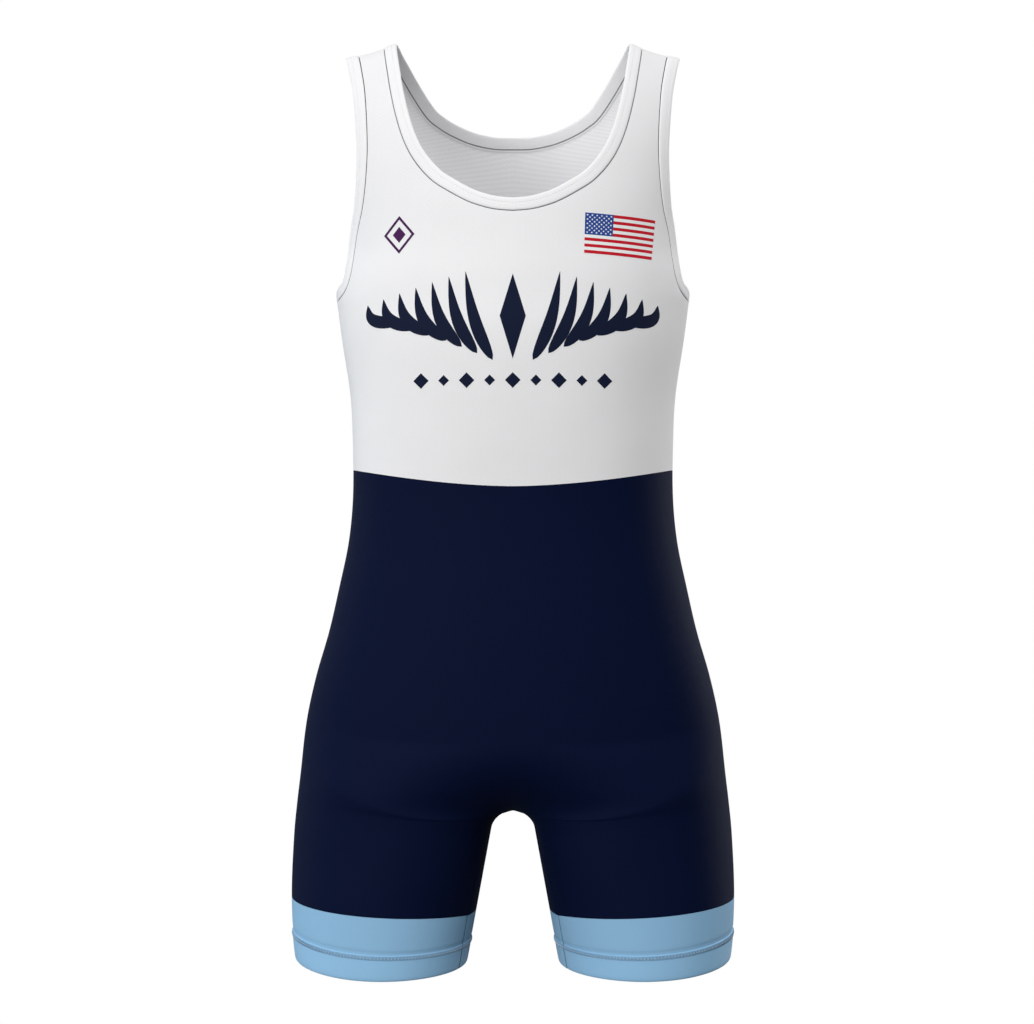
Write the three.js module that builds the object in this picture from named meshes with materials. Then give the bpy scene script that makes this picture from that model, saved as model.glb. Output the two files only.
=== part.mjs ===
// A wrestling singlet in stretch knit, as it hangs filled out on a general figure.
// Millimetres. +Z is up, the front faces -Y and X runs across. The origin is midway between the
// undersides of the two shoulder straps, where the wearer's shoulders carry the garment.

import * as THREE from "three";

// Cloth
const CLOTH_THICK = 1.5;
const SEAM_GAP = 0.3;
const HALF_GAP = SEAM_GAP / 2;
const BINDING_WIDTH = 12;
const BINDING_RAISE = { seam: 0.4, middle: 0.7, edge: 0.3 };
const BINDING_BACKING = { seam: 1.8, middle: 1.9, edge: 1.6 };
const BAND_RAISE = 0;
const CUFF_RAISE = 0.8;
const CUFF_BACKING = 2.1;

// Shoulders: the straps cross them on a dome, DOME_DROP tall and DOME_CLOTH long down the cloth
const DOME_DROP = 150;
const DOME_CLOTH = 185;
const STRAP_MIDDLE = 126;
const STRAP_SLOPE = -0.3;
const STRAP_HOLLOW = 0.0045;
const UNDERARM_DOWN = 261;

// Crotch and legs
const ARCH_HALF = 16.4;
const ARCH_RISE = 16;
const INSEAM_SPREAD = 0.184;
const INSEAM_TURN = THREE.MathUtils.degToRad(24);
const INSEAM_TURN_DROP = 60;
const SADDLE_SPREAD = 33.6;
const THIGH_ROUNDING_DROP = 90;
const THIGH_FULLNESS = 0.55;
const CLEFT_ROUNDING = 0.06;
const LEG_ROW_POWER = 1.7;

// Steps of the walls: across half a panel, and down it
const TOP_STEPS = { across: 9, neck: 12, arm: 7, body: 7 };
const LOWER_STEPS = { across: 11, torso: 9, fork: 5, leg: 9 };
const BAND_STEPS = 2;
const CUFF_STEPS = 2;

// Half widths and depths of the filled garment at each height. chestIn narrows the front section
// beside the armholes, where the chest turns back sooner than the shoulder blades do. Sections of
// the torso are superellipses of the power given, and those of the legs are ellipses.
const BODY = [
  { z: 2, half: 174, front: 74, back: 78, chestIn: 0, power: 2.1 },
  { z: -60, half: 173, front: 80, back: 88, chestIn: 5, power: 2.1 },
  { z: -120, half: 169, front: 86, back: 97, chestIn: 11, power: 2.1 },
  { z: -150, half: 166, front: 91, back: 100, chestIn: 13.5, power: 2.1 },
  { z: -180, half: 163, front: 95, back: 103, chestIn: 11, power: 2.1 },
  { z: -206, half: 160, front: 99, back: 104, chestIn: 3.6, power: 2.1 },
  { z: -225, half: 157.6, front: 101, back: 105, chestIn: 0, power: 2.1 },
  { z: -258, half: 153.2, front: 104, back: 103, chestIn: 0, power: 2.13 },
  { z: -308, half: 145.7, front: 101, back: 95, chestIn: 0, power: 2.2 },
  { z: -350, half: 143.6, front: 97, back: 88, chestIn: 0, power: 2.25 },
  { z: -398, half: 143.5, front: 92, back: 84, chestIn: 0, power: 2.3 },
  { z: -438, half: 147.3, front: 91, back: 85, chestIn: 0, power: 2.3 },
  { z: -478, half: 155.6, front: 92, back: 90, chestIn: 0, power: 2.3 },
  { z: -518, half: 164.8, front: 93, back: 98, chestIn: 0, power: 2.3 },
  { z: -558, half: 176.4, front: 93, back: 107, chestIn: 0, power: 2.3 },
  { z: -598, half: 185, front: 92, back: 114, chestIn: 0, power: 2.3 },
  { z: -648, half: 190.9, front: 88.5, back: 111.5, chestIn: 0, power: 2.3 },
  { z: -672, half: 193.8, front: 83.4, back: 103, chestIn: 0, power: 2.3 },
  { z: -698, half: 196.3, front: 81.4, back: 97.5, chestIn: 0, power: 2.3 },
  { z: -748, half: 198.5, front: 79.5, back: 90.5, chestIn: 0, power: 2.3 },
  { z: -788, half: 197.2, front: 78, back: 84, chestIn: 0, power: 2.3 },
  { z: -815, half: 194.4, front: 76.5, back: 80, chestIn: 0, power: 2.3 },
];

// Seam curves of the upper panels: half is the distance from the centre line and down is the
// distance down the cloth from the shoulder seam.
const NECK_FRONT = [
  { half: 116, down: 0 },
  { half: 115.2, down: 30 },
  { half: 112.4, down: 63.5 },
  { half: 106.6, down: 101.8 },
  { half: 98.3, down: 131.6 },
  { half: 87.4, down: 152.1 },
  { half: 71.6, down: 167.7 },
  { half: 55, down: 176.9 },
  { half: 36, down: 185 },
  { half: 17.6, down: 190.6 },
  { half: 0, down: 192.4 },
];
const NECK_BACK = [
  { half: 116, down: 0 },
  { half: 111.5, down: 35 },
  { half: 103.3, down: 63.3 },
  { half: 92.9, down: 86.4 },
  { half: 81.4, down: 103.8 },
  { half: 70.5, down: 112.9 },
  { half: 58.5, down: 120 },
  { half: 40.8, down: 127.5 },
  { half: 20, down: 133.1 },
  { half: 0, down: 136.1 },
];
const ARM_FRONT = [
  { half: 138.5, down: 0 },
  { half: 137.4, down: 25 },
  { half: 134.1, down: 58 },
  { half: 129.6, down: 94 },
  { half: 126.7, down: 134.7 },
  { half: 127.4, down: 158.6 },
  { half: 130.2, down: 179.4 },
  { half: 136.1, down: 204.3 },
  { half: 139.6, down: 227 },
  { half: 142, down: 241 },
  { half: 145.6, down: 251 },
  { half: 150, down: 257 },
  { half: 154.6, down: 260 },
  { half: 157.6, down: UNDERARM_DOWN },
];
const ARM_BACK = [
  { half: 138.5, down: 0 },
  { half: 137, down: 35 },
  { half: 134.4, down: 75 },
  { half: 133.4, down: 115 },
  { half: 134.4, down: 155 },
  { half: 138.2, down: 190 },
  { half: 143, down: 218 },
  { half: 147.6, down: 238 },
  { half: 151.8, down: 250.5 },
  { half: 155.6, down: 258.5 },
  { half: 157.6, down: UNDERARM_DOWN },
];

// Level lines round the lower body: their heights at the centre front, centre back and side, and
// for the front and the back the lift, the power that says how soon a line leaves its centre
// height. Below the crotch the centre heights lie on the inseam. They are the waist, the fork where
// the legs begin to part, the crotch, the top of the leg band, the top of the hem cuff and the hem.
const LEVELS = [
  { front: -389.5, back: -381, side: -374, frontLift: 1.5, backLift: 1.5 },
  { front: -610, back: -598, side: -588, frontLift: 4, backLift: 4 },
  { front: -678.6, back: -678.6, side: -658, frontLift: 4, backLift: 4 },
  { front: -767.2, back: -767.2, side: -754.6, frontLift: 0.82, backLift: 3 },
  { front: -792.4, back: -792.4, side: -784, frontLift: 4, backLift: 4 },
  { front: -814.7, back: -814.7, side: -809.6, frontLift: 5, backLift: 5 },
];
const FORK_LEVEL = 1;
const CROTCH_LEVEL = 2;
const BAND_LEVEL = 3;
const CUFF_LEVEL = 4;
const HEM_LEVEL = 5;

const WHITE = { color: 0xe6e7e9, roughness: 0.78 };
const NAVY = { color: 0x0c1630, roughness: 0.72 };
const LIGHT_BLUE = { color: 0x8ab6d7, roughness: 0.76 };

const FRONT = -1;
const BACK = 1;
const STEP = 0.004;

const mix = (a, b, t) => a + (b - a) * t;
const clamp = (value, low, high) => Math.min(Math.max(value, low), high);
const smooth = (t) => THREE.MathUtils.smoothstep(t, 0, 1);

// Smooth value of a column of the BODY table at a height
function bodyAt(column, z) {
  const last = BODY.length - 1;
  const height = clamp(z, BODY[last].z, BODY[0].z);
  let row = 0;
  while (row < last - 1 && height < BODY[row + 1].z) {
    row += 1;
  }
  const slope = (k) => {
    const above = BODY[Math.max(k - 1, 0)];
    const below = BODY[Math.min(k + 1, last)];
    return (below[column] - above[column]) / (below.z - above.z);
  };
  const from = BODY[row];
  const to = BODY[row + 1];
  const span = to.z - from.z;
  const t = (height - from.z) / span;
  const rise = t * t * (3 - 2 * t);
  const leaving = t * (1 - t) * (1 - t) * slope(row) * span;
  const arriving = t * t * (t - 1) * slope(row + 1) * span;
  return mix(from[column], to[column], rise) + leaving + arriving;
}

function halfWidth(side, z) {
  return bodyAt("half", z) - (side === FRONT ? Math.max(0, bodyAt("chestIn", z)) : 0);
}

function depth(side, z) {
  return bodyAt(side === FRONT ? "front" : "back", z);
}

// The two measures of a section, along it and across it, at an angle round it, each from 0 to 1
function section(turn, z) {
  const power = 2 / bodyAt("power", z);
  return { along: Math.abs(Math.sin(turn)) ** power, across: Math.max(Math.cos(turn), 0) ** power };
}

// Height of the strap's outer face over the shoulder
function shoulderHeight(x) {
  const away = x - STRAP_MIDDLE;
  return CLOTH_THICK + STRAP_SLOPE * away + STRAP_HOLLOW * away * away;
}

// Height and fullness of the form at a distance down the cloth from the shoulder seam
function dome(down) {
  const turn = (Math.min(down / DOME_CLOTH, 1) * Math.PI) / 2;
  const z = CLOTH_THICK - DOME_DROP * (1 - Math.cos(turn)) - Math.max(0, down - DOME_CLOTH);
  return { z, full: Math.sin(turn) };
}

function downAt(z) {
  return DOME_CLOTH + CLOTH_THICK - DOME_DROP - z;
}

// Angle round the section, 0 at the centre line and a quarter turn at the side, of a half width
function turnAt(side, half, down) {
  const { z } = dome(down);
  const share = clamp(half / halfWidth(side, z), 0, 1);
  return Math.asin(share ** (bodyAt("power", z) / 2));
}

// Point of the upper body's form
function topPoint(side, turn, down) {
  const { z, full } = dome(down);
  const { along, across } = section(turn, z);
  const x = halfWidth(side, z) * along;
  const y = side * depth(side, z) * full * across;
  const slope = (shoulderHeight(x) - CLOTH_THICK) * (1 - smooth(down / DOME_CLOTH));
  return new THREE.Vector3(x, y, z + slope);
}

function waistHeight(side, turn) {
  const waist = LEVELS[0];
  const centre = side === FRONT ? waist.front : waist.back;
  return mix(centre, waist.side, Math.sin(turn) ** waist.frontLift);
}

// Half width of the gap between the legs at a distance below the crotch
function archHalf(below) {
  const rounding = Math.sqrt(1 - (1 - clamp(below / ARCH_RISE, 0, 1)) ** 2);
  return ARCH_HALF * rounding + INSEAM_SPREAD * below;
}

// How far from the centre line a leg's section lies at an angle round it from its innermost line.
// Near the crotch the section opens as a rounded saddle, and lower down it turns into an ellipse.
function legSection(angle, wide, below, fork) {
  const inner = archHalf(below);
  const swing = (1 - Math.cos(angle)) / 2;
  const spread = SADDLE_SPREAD * fork ** 4 * Math.sin(angle) * (1 - angle / Math.PI) ** 4;
  const saddle = Math.hypot(inner, Math.sqrt(wide * wide - inner * inner) * swing + spread);
  const oval = inner + (wide - inner) * swing;
  return mix(saddle, oval, smooth(below / THIGH_ROUNDING_DROP));
}

// Point of the lower body's form. level runs along LEVELS, and around is 0 on the centre line or
// the inseam and 1 at the side seam.
function lowerPoint(side, around, level) {
  const row = clamp(Math.floor(level), 0, LEVELS.length - 2);
  const part = level - row;
  const from = LEVELS[row];
  const to = LEVELS[row + 1];
  const column = side === FRONT ? "front" : "back";
  const fork = smooth(level - FORK_LEVEL);
  let fall = part;
  if (row === FORK_LEVEL) {
    fall = Math.sqrt(1 - (1 - fork) ** 2);
  } else if (row === CROTCH_LEVEL) {
    fall = part ** LEG_ROW_POWER;
  }
  const centre = mix(from[column], to[column], fall);
  const lift = side === FRONT ? "frontLift" : "backLift";
  const power = mix(from[lift], to[lift], row === 0 ? smooth(part) : part);
  const z = mix(centre, mix(from.side, to.side, part), Math.sin((around * Math.PI) / 2) ** power);
  const wide = halfWidth(side, z);
  const deep = depth(side, z);
  const { along, across } = section((around * Math.PI) / 2, z);
  if (fork === 0) {
    return new THREE.Vector3(wide * along, side * deep * across, z);
  }
  if (fork < 1) {
    const rounding = CLEFT_ROUNDING * (1 - fork);
    const eased = (Math.hypot(around, rounding) - rounding) / (Math.hypot(1, rounding) - rounding);
    const round = Math.sin(eased * Math.PI);
    const fullness = THIGH_FULLNESS * Math.sqrt(fork) * (1 - fork) ** 0.9 * round * (1 - eased);
    const reach = mix(across, round, fork) * (1 + fullness);
    const leg = legSection(around * Math.PI, wide, 0, fork);
    return new THREE.Vector3(mix(wide * along, leg, fork), side * deep * reach, z);
  }
  const below = Math.max(0, LEVELS[CROTCH_LEVEL].front - centre);
  const inseam = INSEAM_TURN * smooth(below / INSEAM_TURN_DROP);
  const angle = mix(inseam, -side * Math.PI, around);
  const legDepth = depth(angle > 0 ? FRONT : BACK, z);
  const x = legSection(Math.abs(angle), wide, below, fork);
  return new THREE.Vector3(x, -legDepth * Math.sin(angle), z);
}

// Outward direction of a form at a place on it, from points a small step either way
function outward(form, side, a, b, rangeA, rangeB) {
  const at = (da, db) => form(side, clamp(a + da, ...rangeA), clamp(b + db, ...rangeB));
  const stepA = STEP * (rangeA[1] - rangeA[0]);
  const stepB = STEP * (rangeB[1] - rangeB[0]);
  const across = at(stepA, 0).sub(at(-stepA, 0));
  const downward = at(0, stepB).sub(at(0, -stepB));
  return across.cross(downward).multiplyScalar(side).normalize();
}

function topOutward(side, turn, down) {
  return outward(topPoint, side, turn, down, [0, Math.PI / 2], [0, 600]);
}

function lowerOutward(side, around, level) {
  return outward(lowerPoint, side, around, level, [0, 1], [0, HEM_LEVEL]);
}

// Frame of the inseam at a level: the point, the outward direction and the way to the front
function inseamFrame(level) {
  const point = lowerPoint(FRONT, 0, level);
  const forward = lowerPoint(FRONT, STEP, level).sub(lowerPoint(BACK, STEP, level));
  const lower = lowerPoint(FRONT, 0, Math.min(level + STEP, HEM_LEVEL));
  const along = lower.sub(lowerPoint(FRONT, 0, Math.max(level - STEP, CROTCH_LEVEL)));
  const out = along.clone().cross(forward).normalize();
  const aside = out.clone().cross(along).normalize();
  return { point, out, aside };
}

function seamCurve(table) {
  return new THREE.SplineCurve(table.map(({ half, down }) => new THREE.Vector2(half, down)));
}

const NECK_CURVE = { [FRONT]: seamCurve(NECK_FRONT), [BACK]: seamCurve(NECK_BACK) };
const ARM_CURVE = { [FRONT]: seamCurve(ARM_FRONT), [BACK]: seamCurve(ARM_BACK) };

// Share of a seam curve's length at which it reaches a distance down the cloth
function shareAt(curve, down) {
  let low = 0;
  let high = 1;
  for (let pass = 0; pass < 40; pass += 1) {
    const middle = (low + high) / 2;
    if (curve.getPointAt(middle).y < down) {
      low = middle;
    } else {
      high = middle;
    }
  }
  return high;
}

// Rows of an upper panel from the shoulder to the waist. Each row runs from the neck seam or the
// centre line to the armhole seam or the side seam, and down(turn) is its place down the cloth.
function topRows(side) {
  const rows = [];
  const neck = NECK_CURVE[side];
  const arm = ARM_CURVE[side];
  for (let k = 0; k <= TOP_STEPS.neck; k += 1) {
    const start = neck.getPointAt(k / TOP_STEPS.neck);
    const end = arm.getPointAt(shareAt(arm, start.y));
    const from = turnAt(side, start.x, start.y);
    rows.push({ from, to: turnAt(side, end.x, start.y), down: () => start.y });
  }
  const reached = shareAt(arm, rows[TOP_STEPS.neck].down());
  for (let k = 1; k <= TOP_STEPS.arm; k += 1) {
    const end = arm.getPointAt(mix(reached, 1, k / TOP_STEPS.arm));
    rows.push({ from: 0, to: turnAt(side, end.x, end.y), down: () => end.y });
  }
  for (let k = 1; k <= TOP_STEPS.body; k += 1) {
    const share = k / TOP_STEPS.body;
    const down = (turn) => mix(UNDERARM_DOWN, downAt(waistHeight(side, turn)), share);
    rows.push({ from: 0, to: Math.PI / 2, down });
  }
  return rows;
}

const TOP_ROWS = { [FRONT]: topRows(FRONT), [BACK]: topRows(BACK) };
const ARM_ROWS = TOP_STEPS.neck + TOP_STEPS.arm;

// Seam line round half the neck or one armhole, as frames: the point on the form, the outward
// direction, and aside, the direction along the cloth off the panel's edge.
function seamFrames(edge, count, turning, mirrored) {
  const stations = [];
  for (let k = count; k >= 0; k -= 1) {
    const row = TOP_ROWS[FRONT][k];
    stations.push({ side: FRONT, turn: row[edge], down: row.down(row[edge]) });
  }
  for (let k = 1; k <= count; k += 1) {
    const row = TOP_ROWS[BACK][k];
    stations.push({ side: BACK, turn: row[edge], down: row.down(row[edge]) });
  }
  const points = stations.map(({ side, turn, down }) => topPoint(side, turn, down));
  const last = points.length - 1;
  return stations.map(({ side, turn, down }, k) => {
    const before = k > 0 ? points[k - 1].clone() : points[mirrored ? 1 : last - 1].clone();
    const after = k < last ? points[k + 1].clone() : points[mirrored ? last - 1 : 1].clone();
    if (mirrored && k === 0) {
      before.x = -before.x;
    }
    if (mirrored && k === last) {
      after.x = -after.x;
    }
    const along = after.sub(before).normalize();
    const out = topOutward(side, turn, down);
    const aside = out.clone().cross(along).multiplyScalar(turning).normalize();
    return { point: points[k], out, aside, along };
  });
}

const NECK_SEAM = seamFrames("from", TOP_STEPS.neck, 1, true);
const ARM_SEAM = seamFrames("to", ARM_ROWS, -1, false);

// A solid's triangles are kept as a plain list of corners, each triangle facing out
function addQuad(corners, a, b, c, d) {
  corners.push(a, b, c, a, c, d);
}

// Closes a wall between an outer and an inner grid of points. From row joinFrom to row joinTo the
// first points lie on the centre line, where the mirrored half carries on and no edge is closed.
function addWall(corners, outer, inner, flipped, joinFrom = 0, joinTo = 0) {
  const add = (a, b, c, d) => {
    if (flipped) {
      addQuad(corners, d, c, b, a);
    } else {
      addQuad(corners, a, b, c, d);
    }
  };
  const rows = outer.length - 1;
  const columns = outer[0].length - 1;
  for (let j = 0; j < rows; j += 1) {
    for (let i = 0; i < columns; i += 1) {
      add(outer[j][i], outer[j][i + 1], outer[j + 1][i + 1], outer[j + 1][i]);
      add(inner[j + 1][i], inner[j + 1][i + 1], inner[j][i + 1], inner[j][i]);
    }
    if (j < joinFrom || j >= joinTo) {
      add(outer[j][0], outer[j + 1][0], inner[j + 1][0], inner[j][0]);
    }
    add(outer[j + 1][columns], outer[j][columns], inner[j][columns], inner[j + 1][columns]);
  }
  for (let i = 0; i < columns; i += 1) {
    add(outer[0][i + 1], outer[0][i], inner[0][i], inner[0][i + 1]);
    add(outer[rows][i], outer[rows][i + 1], inner[rows][i + 1], inner[rows][i]);
  }
}

const mirror = (grid) => grid.map((row) => row.map((p) => new THREE.Vector3(-p.x, p.y, p.z)));

function mesh(name, corners, look) {
  const geometry = new THREE.BufferGeometry().setFromPoints(corners);
  geometry.computeVertexNormals();
  const material = new THREE.MeshStandardMaterial({ ...look, metalness: 0 });
  const solid = new THREE.Mesh(geometry, material);
  solid.name = name;
  return solid;
}

// Both halves of a panel, joined on the centre line between two of its rows
function panel(name, side, outer, inner, joinFrom, joinTo, look) {
  const corners = [];
  addWall(corners, outer, inner, side === FRONT, joinFrom, joinTo);
  addWall(corners, mirror(outer), mirror(inner), side === BACK, joinFrom, joinTo);
  return mesh(name, corners, look);
}

// Upper front or back, with both straps
function topPanel(name, side, look) {
  const rows = TOP_ROWS[side];
  const last = rows.length - 1;
  const seamPlace = (k) => (side === FRONT ? -k : k);
  const outer = [];
  const inner = [];
  rows.forEach((row, j) => {
    const outerRow = [];
    const innerRow = [];
    for (let i = 0; i <= TOP_STEPS.across; i += 1) {
      const turn = mix(row.from, row.to, i / TOP_STEPS.across);
      const point = topPoint(side, turn, row.down(turn));
      const out = topOutward(side, turn, row.down(turn));
      if (i === 0 && j <= TOP_STEPS.neck) {
        const frame = NECK_SEAM[TOP_STEPS.neck + seamPlace(j)];
        point.addScaledVector(frame.aside, -HALF_GAP);
      }
      if (i === TOP_STEPS.across && j <= ARM_ROWS) {
        const frame = ARM_SEAM[ARM_ROWS + seamPlace(j)];
        point.addScaledVector(frame.aside, -HALF_GAP);
      }
      if (j === last) {
        point.z += HALF_GAP;
      }
      const under = point.clone().addScaledVector(out, -CLOTH_THICK);
      const onSeam = j === 0 || (i === TOP_STEPS.across && j >= ARM_ROWS);
      for (const place of [point, under]) {
        if (onSeam) {
          place.y = side * HALF_GAP;
        }
        if (i === 0 && j >= TOP_STEPS.neck) {
          place.x = 0;
        }
      }
      outerRow.push(point);
      innerRow.push(under);
    }
    outer.push(outerRow);
    inner.push(innerRow);
  });
  return panel(name, side, outer, inner, TOP_STEPS.neck, last, look);
}

// Lower front or back, over both legs
function lowerPanel(name, side, look) {
  const levels = [];
  for (let k = 0; k < LOWER_STEPS.torso; k += 1) {
    levels.push(k / LOWER_STEPS.torso);
  }
  for (let k = 0; k < LOWER_STEPS.fork; k += 1) {
    levels.push(1 + k / LOWER_STEPS.fork);
  }
  for (let k = 0; k <= LOWER_STEPS.leg; k += 1) {
    levels.push(CROTCH_LEVEL + k / LOWER_STEPS.leg);
  }
  const last = levels.length - 1;
  const crotchRow = LOWER_STEPS.torso + LOWER_STEPS.fork;
  const outer = [];
  const inner = [];
  levels.forEach((level, j) => {
    const outerRow = [];
    const innerRow = [];
    for (let i = 0; i <= LOWER_STEPS.across; i += 1) {
      const around = i / LOWER_STEPS.across;
      const point = lowerPoint(side, around, level);
      const out = lowerOutward(side, around, level);
      if (i === 0 && j >= crotchRow) {
        const frame = inseamFrame(level);
        point.addScaledVector(frame.aside, -side * HALF_GAP);
        out.copy(frame.out);
      }
      if (j === 0) {
        point.z -= HALF_GAP;
      }
      if (j === last) {
        point.z += HALF_GAP;
      }
      const under = point.clone().addScaledVector(out, -CLOTH_THICK);
      for (const place of [point, under]) {
        if (i === LOWER_STEPS.across) {
          place.y = side * HALF_GAP;
        }
        if (i === 0 && j <= crotchRow) {
          place.x = 0;
        }
      }
      outerRow.push(point);
      innerRow.push(under);
    }
    outer.push(outerRow);
    inner.push(innerRow);
  });
  return panel(name, side, outer, inner, 0, crotchRow, look);
}

// Strip round one leg between two levels, joined at the inseam
function legStrip(name, handed, { fromLevel, toLevel, steps, raise, backing }, look) {
  const places = [];
  for (let i = 0; i <= LOWER_STEPS.across; i += 1) {
    places.push({ side: FRONT, around: i / LOWER_STEPS.across });
  }
  for (let i = LOWER_STEPS.across - 1; i >= 0; i -= 1) {
    places.push({ side: BACK, around: i / LOWER_STEPS.across });
  }
  const outer = [];
  const inner = [];
  for (let j = 0; j <= steps; j += 1) {
    const level = mix(fromLevel, toLevel, j / steps);
    const shift = j === 0 ? -HALF_GAP : j === steps && toLevel < HEM_LEVEL ? HALF_GAP : 0;
    const points = places.map(({ side, around }) => lowerPoint(side, around, level));
    const outs = places.map(({ side, around }) => lowerOutward(side, around, level));
    const frame = inseamFrame(level);
    for (const [end, side] of [[0, FRONT], [places.length - 1, BACK]]) {
      points[end].addScaledVector(frame.aside, -side * HALF_GAP);
      outs[end].copy(frame.out);
    }
    points.forEach((point) => point.setZ(point.z + shift));
    outer.push(points.map((point, i) => point.clone().addScaledVector(outs[i], raise)));
    inner.push(points.map((point, i) => point.clone().addScaledVector(outs[i], -backing)));
  }
  const corners = [];
  if (handed < 0) {
    addWall(corners, mirror(outer), mirror(inner), false);
  } else {
    addWall(corners, outer, inner, true);
  }
  return mesh(name, corners, look);
}

// Points across a binding at one frame of its seam, outer face or under face
function bindingAcross({ point, out, aside }, offsets, sign) {
  const places = [
    { across: HALF_GAP, off: offsets.seam },
    { across: BINDING_WIDTH / 2, off: offsets.middle },
    { across: BINDING_WIDTH, off: offsets.edge },
  ];
  return places.map(({ across, off }) =>
    point.clone().addScaledVector(aside, across).addScaledVector(out, sign * off));
}

// A binding is a strip along its seam's frames, with its two ends SEAM_GAP apart where they meet
function bindingStrip(name, frames, endAxis, flipped, look) {
  const ends = [frames[0], frames[frames.length - 1]];
  const grids = [
    { offsets: BINDING_RAISE, sign: 1 },
    { offsets: BINDING_BACKING, sign: -1 },
  ].map(({ offsets, sign }) => frames.map((frame) => {
    const row = bindingAcross(frame, offsets, sign);
    const end = ends.indexOf(frame);
    if (end >= 0) {
      row.forEach((point) => {
        point[endAxis.name] = (end === 0 ? 1 : -1) * endAxis.sign * HALF_GAP;
      });
    }
    return row;
  }));
  const corners = [];
  addWall(corners, grids[0], grids[1], flipped);
  return mesh(name, corners, look);
}

const mirrorFrame = ({ point, out, aside }) => {
  const flip = (v) => new THREE.Vector3(-v.x, v.y, v.z);
  return { point: flip(point), out: flip(out), aside: flip(aside) };
};

// Neck binding, from the centre back round over one shoulder, the front and the other shoulder
function neckBinding(look) {
  const right = NECK_SEAM.slice().reverse();
  const left = NECK_SEAM.slice(1).map(mirrorFrame);
  return bindingStrip("neck_binding", [...right, ...left], { name: "x", sign: 1 }, false, look);
}

// Armhole binding, from the underarm up the front, over the shoulder and down the back
function armholeBinding(name, handed, look) {
  const frames = handed > 0 ? ARM_SEAM : ARM_SEAM.map(mirrorFrame);
  return bindingStrip(name, frames, { name: "y", sign: -1 }, handed < 0, look);
}

const BAND = {
  fromLevel: BAND_LEVEL, toLevel: CUFF_LEVEL, steps: BAND_STEPS, raise: BAND_RAISE, backing: CLOTH_THICK,
};
const CUFF = {
  fromLevel: CUFF_LEVEL, toLevel: HEM_LEVEL, steps: CUFF_STEPS, raise: CUFF_RAISE, backing: CUFF_BACKING,
};

const singlet = new THREE.Group();
singlet.add(topPanel("front_top", FRONT, WHITE));
singlet.add(topPanel("back_top", BACK, WHITE));
singlet.add(lowerPanel("front_lower", FRONT, NAVY));
singlet.add(lowerPanel("back_lower", BACK, NAVY));
singlet.add(neckBinding(WHITE));
for (const [hand, handed] of [["left", 1], ["right", -1]]) {
  singlet.add(armholeBinding(`armhole_binding_${hand}`, handed, WHITE));
  singlet.add(legStrip(`leg_band_${hand}`, handed, BAND, LIGHT_BLUE));
  singlet.add(legStrip(`leg_cuff_${hand}`, handed, CUFF, LIGHT_BLUE));
}

export default singlet;
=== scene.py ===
import math

import bpy
import numpy as np
from bpy.props import FloatProperty, FloatVectorProperty, PointerProperty
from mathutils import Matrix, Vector


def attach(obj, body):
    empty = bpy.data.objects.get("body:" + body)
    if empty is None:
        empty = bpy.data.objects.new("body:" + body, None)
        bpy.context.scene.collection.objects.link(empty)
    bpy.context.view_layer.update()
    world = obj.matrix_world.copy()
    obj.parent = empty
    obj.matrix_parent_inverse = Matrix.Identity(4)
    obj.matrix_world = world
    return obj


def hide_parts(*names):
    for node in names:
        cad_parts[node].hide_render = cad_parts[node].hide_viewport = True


bl_info = {
    "name": "Wrestling Singlet",
    "version": (1, 0, 0),
    "blender": (4, 5, 0),
    "location": "View3D > Sidebar > Singlet",
    "description": "A stretch knit wrestling singlet with bound edges, printed chest and banded legs",
    "category": "Add Mesh",
}

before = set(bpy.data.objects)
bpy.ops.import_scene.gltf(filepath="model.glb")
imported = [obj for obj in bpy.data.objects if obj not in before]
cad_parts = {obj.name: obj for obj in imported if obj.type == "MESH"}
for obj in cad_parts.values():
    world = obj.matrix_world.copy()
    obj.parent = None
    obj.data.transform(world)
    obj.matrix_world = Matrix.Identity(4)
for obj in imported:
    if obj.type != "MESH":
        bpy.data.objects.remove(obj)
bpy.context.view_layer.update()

MM = 0.001
FRONT = -1
BACK = 1
HANDS = {"left": 1, "right": -1}

# The garment's form, in millimetres. Half widths and depths of the filled garment at each height.
# chest_in narrows the front section beside the armholes. Sections of the torso are superellipses
# of the power given, and those of the legs are ellipses.
BODY_COLUMNS = {"z": 0, "half": 1, "front": 2, "back": 3, "chest_in": 4, "power": 5}
BODY = np.array(
    [
        (2, 174, 74, 78, 0, 2.1),
        (-60, 173, 80, 88, 5, 2.1),
        (-120, 169, 86, 97, 11, 2.1),
        (-150, 166, 91, 100, 13.5, 2.1),
        (-180, 163, 95, 103, 11, 2.1),
        (-206, 160, 99, 104, 3.6, 2.1),
        (-225, 157.6, 101, 105, 0, 2.1),
        (-258, 153.2, 104, 103, 0, 2.13),
        (-308, 145.7, 101, 95, 0, 2.2),
        (-350, 143.6, 97, 88, 0, 2.25),
        (-398, 143.5, 92, 84, 0, 2.3),
        (-438, 147.3, 91, 85, 0, 2.3),
        (-478, 155.6, 92, 90, 0, 2.3),
        (-518, 164.8, 93, 98, 0, 2.3),
        (-558, 176.4, 93, 107, 0, 2.3),
        (-598, 185, 92, 114, 0, 2.3),
        (-648, 190.9, 88.5, 111.5, 0, 2.3),
        (-672, 193.8, 83.4, 103, 0, 2.3),
        (-698, 196.3, 81.4, 97.5, 0, 2.3),
        (-748, 198.5, 79.5, 90.5, 0, 2.3),
        (-788, 197.2, 78, 84, 0, 2.3),
        (-815, 194.4, 76.5, 80, 0, 2.3),
    ]
)

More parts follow.
